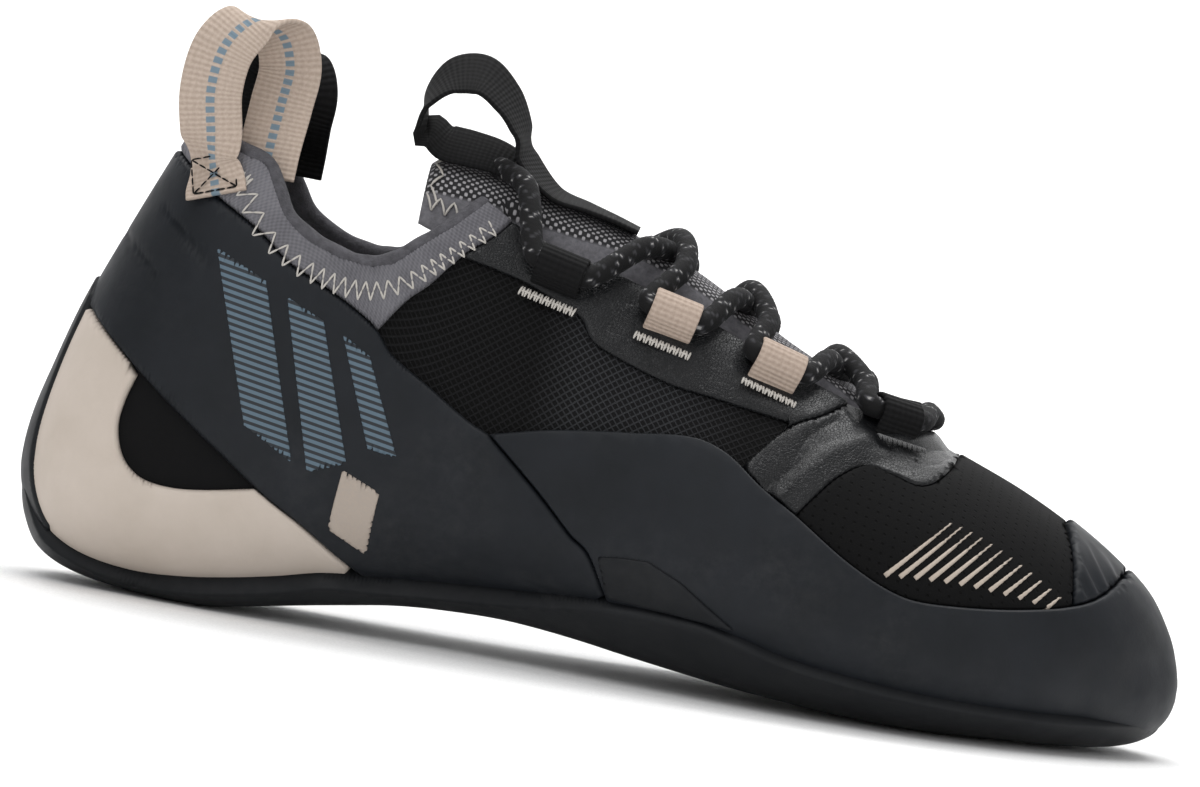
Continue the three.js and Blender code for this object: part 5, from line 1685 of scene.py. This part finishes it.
TACK_AWAY, TACK_LENGTH = 7.6, 12.8  # millimetres from a loop's middle, and along the facing
TACK_HALF_HEIGHT, TACK_LEAN, TACK_THREADS = 1.15, 0.12, 19
DARK_LOOPS, DARK_TACKS = (0, 3), (3,)  # rows


def loop_section():
    """A lace loop's path round the lace, as (down the side, outwards)."""
    radius, centre = LACE_RADIUS + LIFT + WEBBING_THICK / 2, LIFT + LACE_RADIUS
    flat = [(1.24 * radius, -1.2), (1.16 * radius, -0.1), (1.08 * radius, 1.1)]
    flat += [(radius * math.cos(a) * 1.03, centre - 0.2 + radius * math.sin(a) * 0.96)
             for a in np.linspace(0.1, math.pi - 0.05, 9)]
    return flat + [(-radius * 1.02, centre * 0.5), (-radius * 0.98, -0.6)]


def tack_threads(origin, down, normal, ahead):
    """A bartack below a loop: a row along it and close threads across it."""
    base = origin + down * TACK_AWAY - normal * 0.25
    ends = [base + ahead * (TACK_LENGTH * (k / 5 - 0.5)) for k in range(6)]
    threads = [(a, b, normal) for a, b in zip(ends, ends[1:])]
    for k in range(TACK_THREADS):
        offset = (k / (TACK_THREADS - 1) - 0.5) * TACK_LENGTH
        slant = TACK_LEAN if k % 2 else -TACK_LEAN
        threads.append((base + ahead * (offset - slant) - down * TACK_HALF_HEIGHT,
                        base + ahead * (offset + slant) + down * TACK_HALF_HEIGHT, normal))
    return threads


def build_lace_loops():
    tacks, dark_tacks = [], []
    for row in range(len(LACE_ROWS)):
        slot = "dark_webbing" if row in DARK_LOOPS else "pale_webbing"
        for side in SIDES:
            origin, down, normal, ahead = loop_axes(row, side)
            path = np.array([origin + down * a + normal * b for a, b in loop_section()])
            name = f"lace_loop_{SIDE_WORDS[side]}_{row + 1}"
            loop = strap(name, path, [ahead] * len(path), LACE_LOOP_WIDTH, WEBBING_THICK * 0.9,
                         MATERIALS[slot], steps=48)
            declare(loop, slot, name)
            (dark_tacks if row in DARK_TACKS else tacks).extend(
                tack_threads(origin, down, normal, ahead))
    for name, threads, thread, slot in (
        ("bartacks", tacks, "thread", "pale_webbing"),
        ("bartacks_dark", dark_tacks, "dark_thread", "dark_webbing"),
    ):
        declare(stitches(name, threads, 0.27, MATERIALS[thread], arch=0.3), slot)


OVER, UNDER = 1.9, -2.2  # lift of the two strands where they cross


def lace_route():
    """Control points of the lace, from the inner side's top loop down, across and back up."""
    clear = LACE_LOOP_WIDTH / 2 + LIFT

    def crest(at, lift):
        return tongue_top(at, 0) + (0, 0, LIFT + LACE_RADIUS + lift)

    def shoulder(at, side, share):
        y = float(section(at)["ridge"]) + side * float(throat_half(at)) * share
        return over_last(at, y, LACE_DEPTH + 0.6)[0]

    def through(row, side, downward):
        signs = (-1, -0.35, 0.35, 1) if downward else (1, 0.35, -0.35, -1)
        return [lace_seat(row, side, s * clear)[0] for s in signs]

    def strand(from_row, from_side, to_row, to_side, lift):
        at = LACE_CREST[min(from_row, to_row)]
        low, high = (LACE_ROWS[from_row] + 2 * at) / 3, (LACE_ROWS[to_row] + 2 * at) / 3
        return [shoulder(low, from_side, 0.66), crest(at, lift), shoulder(high, to_side, 0.66)]

    def bar(row, at, side):
        near = (at * 2 + LACE_ROWS[row]) / 3
        return [shoulder(near, side, 0.6), crest(at, -0.8), shoulder(near, -side, 0.6)]

    side = MEDIAL
    points = [lace_seat(0, side, 0.2)[0], lace_seat(0, side, clear)[0]]
    for row in range(3):
        points += strand(row, side, row + 1, -side, OVER if row % 2 == 0 else UNDER)
        side = -side
        points += through(row + 1, side, True)
    points += bar(3, BOTTOM_BAR_CREST, side)
    side = -side
    points += through(3, side, False)
    for row in (3, 2, 1):
        points += strand(row, side, row - 1, -side, UNDER if (row - 1) % 2 == 0 else OVER)
        side = -side
        points += through(row - 1, side, False)
    points += bar(0, TOP_BAR_CREST, side)
    side = -side
    points += [lace_seat(0, side, -clear)[0], lace_seat(0, side, -0.2)[0]]
    return np.array(points)


BRAID_STRANDS, BRAID_PITCH, LACE_SIDES = 8, 1.25, 28
FLECKS = {2: 0.95, 6: 0.42}, {5: 0.95, 1: 0.42}  # tones of strands, for the two ways they wind


def build_lace():
    centres = spline(lace_route(), spacing=0.42)
    forward = tangents(centres)
    up = np.array((0.0, 0.0, 1.0))
    reach, rings, uv, tones = 0.0, [], [], []
    for i, centre in enumerate(centres):
        if i:
            reach += np.linalg.norm(centre - centres[i - 1])
        up = unit(up - forward[i] * (up @ forward[i]))
        side = np.cross(forward[i], up)
        ring, ring_uv = [], []
        for k in range(LACE_SIDES):
            angle = 2 * math.pi * k / LACE_SIDES
            one = reach / BRAID_PITCH + k * BRAID_STRANDS / LACE_SIDES
            two = reach / BRAID_PITCH - k * BRAID_STRANDS / LACE_SIDES
            over = math.cos(math.pi * one) * math.cos(math.pi * two)
            radius = LACE_RADIUS * (0.955 + 0.06 * abs(over))
            ring.append(centre + (side * math.cos(angle) + up * math.sin(angle)) * radius)
            ring_uv.append((reach, angle * LACE_RADIUS))
            way, turns = (0, one) if over > 0 else (1, two)
            tone = FLECKS[way].get(math.floor(turns + 0.5) % BRAID_STRANDS, 0.0)
            tones.append(tone * min(1, max(abs(over) - 0.2, 0) * 2.5))
        rings.append(ring)
        uv.append(ring_uv)
    lace = sweep("lace", rings, uv, MATERIALS["lace"])
    # The middles of the two ends come last and have no tone
    count = len(lace.data.vertices)
    tones = (tones + [0.0] * count)[:count]
    attribute = lace.data.attributes.new("tone", "FLOAT", "POINT")
    attribute.data.foreach_set("value", np.array(tones, np.float32))
    declare(lace, "lace", "lace_cross_1", "lace_cross_2", "lace_cross_3", "lace_top_bar",
            "lace_bottom_bar")


# ---------------------------------------------------------------------------------------------
# Stage
# ---------------------------------------------------------------------------------------------
FLOOR_SIDE, FLOOR_FRONT, FLOOR_BACK, WALL_TOP = 5.0, -2.5, 2.0, 4.0  # metres
COVE_RADIUS, FLOOR_ROWS, FLOOR_SHARE = 1.6, 40, 0.6
LIGHT_AIM, BACK_AIM = (0.09, 0.0, 0.05), (0.1, 3.2, 1.0)
# Name, place, size, share of the key's power, and what it shines at
LIGHTS = (
    ("key_light", (-0.6, -1.1, 1.7), 1.2, 0.5, LIGHT_AIM),
    ("fill_light", (1.5, -1.2, 0.9), 1.4, 0.22, LIGHT_AIM),
    ("top_light", (0.1, 0.6, 1.9), 1.8, 0.95, LIGHT_AIM),
    ("low_light", (-0.2, -1.6, 0.35), 0.9, 0.1, LIGHT_AIM),
    ("back_light", (0.1, 1.2, 2.6), 2.4, 3.8, BACK_AIM),
)
CAMERA_AIM = Vector((0.0905, -0.01, 0.0615))
SENSOR = 36.0  # millimetres


def build_floor():
    """A pale floor that curves up behind the shoe."""
    points, faces = [], []
    for i in range(FLOOR_ROWS + 1):
        t = i / FLOOR_ROWS
        if t < FLOOR_SHARE:
            y, z = FLOOR_FRONT + t / FLOOR_SHARE * (FLOOR_BACK - FLOOR_FRONT), 0.0
        else:
            angle = (t - FLOOR_SHARE) / (1 - FLOOR_SHARE) * math.pi / 2
            y = FLOOR_BACK + COVE_RADIUS * math.sin(angle)
            z = COVE_RADIUS * (1 - math.cos(angle))
        points += [(-FLOOR_SIDE, y, z), (FLOOR_SIDE, y, z)]
        faces.append((2 * i, 2 * i + 1, 2 * i + 3, 2 * i + 2))
    wall = FLOOR_BACK + COVE_RADIUS
    points += [(-FLOOR_SIDE, wall, WALL_TOP), (FLOOR_SIDE, wall, WALL_TOP)]
    mesh = bpy.data.meshes.new("floor")
    mesh.from_pydata([(x, y, z - 0.0002) for x, y, z in points], [], faces)
    mesh.materials.append(plain_material("pale_floor", "#fbfbfb", 0.85))
    mesh.polygons.foreach_set("use_smooth", [True] * len(mesh.polygons))
    floor = bpy.data.objects.new("floor", mesh)
    bpy.context.scene.collection.objects.link(floor)


def build_lights(settings):
    world = bpy.data.worlds.new("studio")
    bpy.context.scene.world = world
    world.use_nodes = True
    background = world.node_tree.nodes["Background"]
    background.inputs[0].default_value = linear("#ffffff")
    background.inputs[1].default_value = settings.world_light
    for name, spot, size, share, aim in LIGHTS:
        light = bpy.data.lights.new(name, "AREA")
        light.energy = settings.key_power * share
        light.size = size
        lamp = bpy.data.objects.new(name, light)
        lamp.location = spot
        turn = (Vector(aim) - Vector(spot)).to_track_quat("-Z", "Y")
        lamp.rotation_euler = turn.to_euler()
        bpy.context.scene.collection.objects.link(lamp)


def build_camera(settings):
    camera_data = bpy.data.cameras.new("camera")
    camera = bpy.data.objects.new("camera", camera_data)
    bpy.context.scene.collection.objects.link(camera)
    turn, rise, roll = settings.camera_turn, settings.camera_rise, settings.camera_roll
    level = math.cos(rise)
    back = Vector((math.sin(turn) * level, -math.cos(turn) * level, math.sin(rise)))
    right = Vector((0, 0, 1)).cross(back).normalized()
    upward = back.cross(right)
    rolled = (right * math.cos(roll) + upward * math.sin(roll),
              upward * math.cos(roll) - right * math.sin(roll))
    camera.location = CAMERA_AIM + back * settings.camera_distance
    camera.rotation_euler = Matrix((*rolled, back)).transposed().to_euler()
    camera_data.sensor_width = SENSOR
    camera_data.lens = SENSOR * settings.camera_distance / settings.frame_width
    camera_data.clip_end = 20.0
    bpy.context.scene.camera = camera
    bpy.context.scene.view_settings.view_transform = "Standard"


def build_stage():
    settings = bpy.context.scene.shoe
    build_floor()
    build_lights(settings)
    build_camera(settings)


# ---------------------------------------------------------------------------------------------
# Add-on: settings, operators and panel
# ---------------------------------------------------------------------------------------------
class ShoeSettings(bpy.types.PropertyGroup):
    """Settings of the shoe's scene."""

    camera_turn: bpy.props.FloatProperty(
        name="Camera turn", description="Turn towards the toe", default=math.radians(3.0),
        subtype="ANGLE")
    camera_rise: bpy.props.FloatProperty(
        name="Camera rise", description="Rise above the floor", default=math.radians(3.6),
        subtype="ANGLE")
    camera_roll: bpy.props.FloatProperty(
        name="Camera roll", description="Roll about its line of sight",
        default=math.radians(9.5), subtype="ANGLE")
    camera_distance: bpy.props.FloatProperty(
        name="Camera distance", description="Distance from the shoe", default=2.4, unit="LENGTH")
    frame_width: bpy.props.FloatProperty(
        name="Frame width", description="Width that the picture shows at the shoe",
        default=0.267, unit="LENGTH")
    key_power: bpy.props.FloatProperty(
        name="Key light", description="Power that all lights are shares of", default=24.0,
        unit="POWER")
    world_light: bpy.props.FloatProperty(
        name="Surrounding light", description="Strength of the white surroundings", default=0.5,
        min=0.0, subtype="FACTOR")


def operator(idname, label, text, *works):
    """An operator class that runs build functions."""
    def execute(self, context):
        for work in works:
            work()
        return {"FINISHED"}
    return type("SHOE_OT_" + idname, (bpy.types.Operator,), {
        "__doc__": text, "bl_idname": "shoe." + idname, "bl_label": label,
        "bl_options": {"REGISTER", "UNDO"}, "execute": execute,
    })


STEPS = (
    ("materials", "Materials", "Make the materials of all pieces.", make_materials),
    ("upper", "Upper", "Build the upper's shell and lining.", build_upper),
    ("outsole", "Outsole", "Build the outsole and the strip up the heel.",
     build_outsole, build_heel_strip),
    ("insole", "Insole", "Build the insole board.", build_insole),
    ("heel", "Heel rubber", "Build the heel band, its film and the heel cups.",
     build_heel_band, build_film, build_heel_cup),
    ("forefoot", "Forefoot rubber", "Build the rand and the toe patch.",
     build_rand, build_toe_patch),
    ("toe", "Toe fabric", "Build the toe fabric and its stripes.",
     build_toe_fabric, build_toe_stripes),
    ("facings", "Facings", "Build the vamp wrap and the eyestays.", build_vamp, build_eyestays),
    ("collar", "Collar", "Build the cuff, its rolled edge and stitching.",
     build_cuff, build_collar_roll, build_collar_thread),
    ("tongue", "Tongue", "Build the tongue, its stitching and pull loop.",
     build_tongue, build_tongue_thread, build_tongue_loop),
    ("loops", "Loops", "Build the heel loops and the lace loops.",
     build_heel_loops, build_box_stitch, build_lace_loops),
    ("lace", "Lace", "Run the lace through its loops.", build_lace),
    ("stage", "Stage", "Set up floor, lights and camera.", build_stage),
)
OPERATORS = [operator(*step) for step in STEPS]


class SHOE_PT_panel(bpy.types.Panel):
    """Lists the steps that build the shoe."""

    bl_label = "Climbing shoe"
    bl_idname = "SHOE_PT_panel"
    bl_space_type = "VIEW_3D"
    bl_region_type = "UI"
    bl_category = "Shoe"

    def draw(self, context):
        for item in OPERATORS:
            self.layout.operator(item.bl_idname)
        for name in ShoeSettings.__annotations__:
            self.layout.prop(context.scene.shoe, name)


CLASSES = (ShoeSettings, *OPERATORS, SHOE_PT_panel)


def register():
    for item in CLASSES:
        bpy.utils.register_class(item)
    bpy.types.Scene.shoe = bpy.props.PointerProperty(type=ShoeSettings)


def unregister():
    del bpy.types.Scene.shoe
    for item in reversed(CLASSES):
        bpy.utils.unregister_class(item)


def main():
    register()
    for step in STEPS:
        getattr(bpy.ops.shoe, step[0])()


if __name__ == "__main__":
    main()
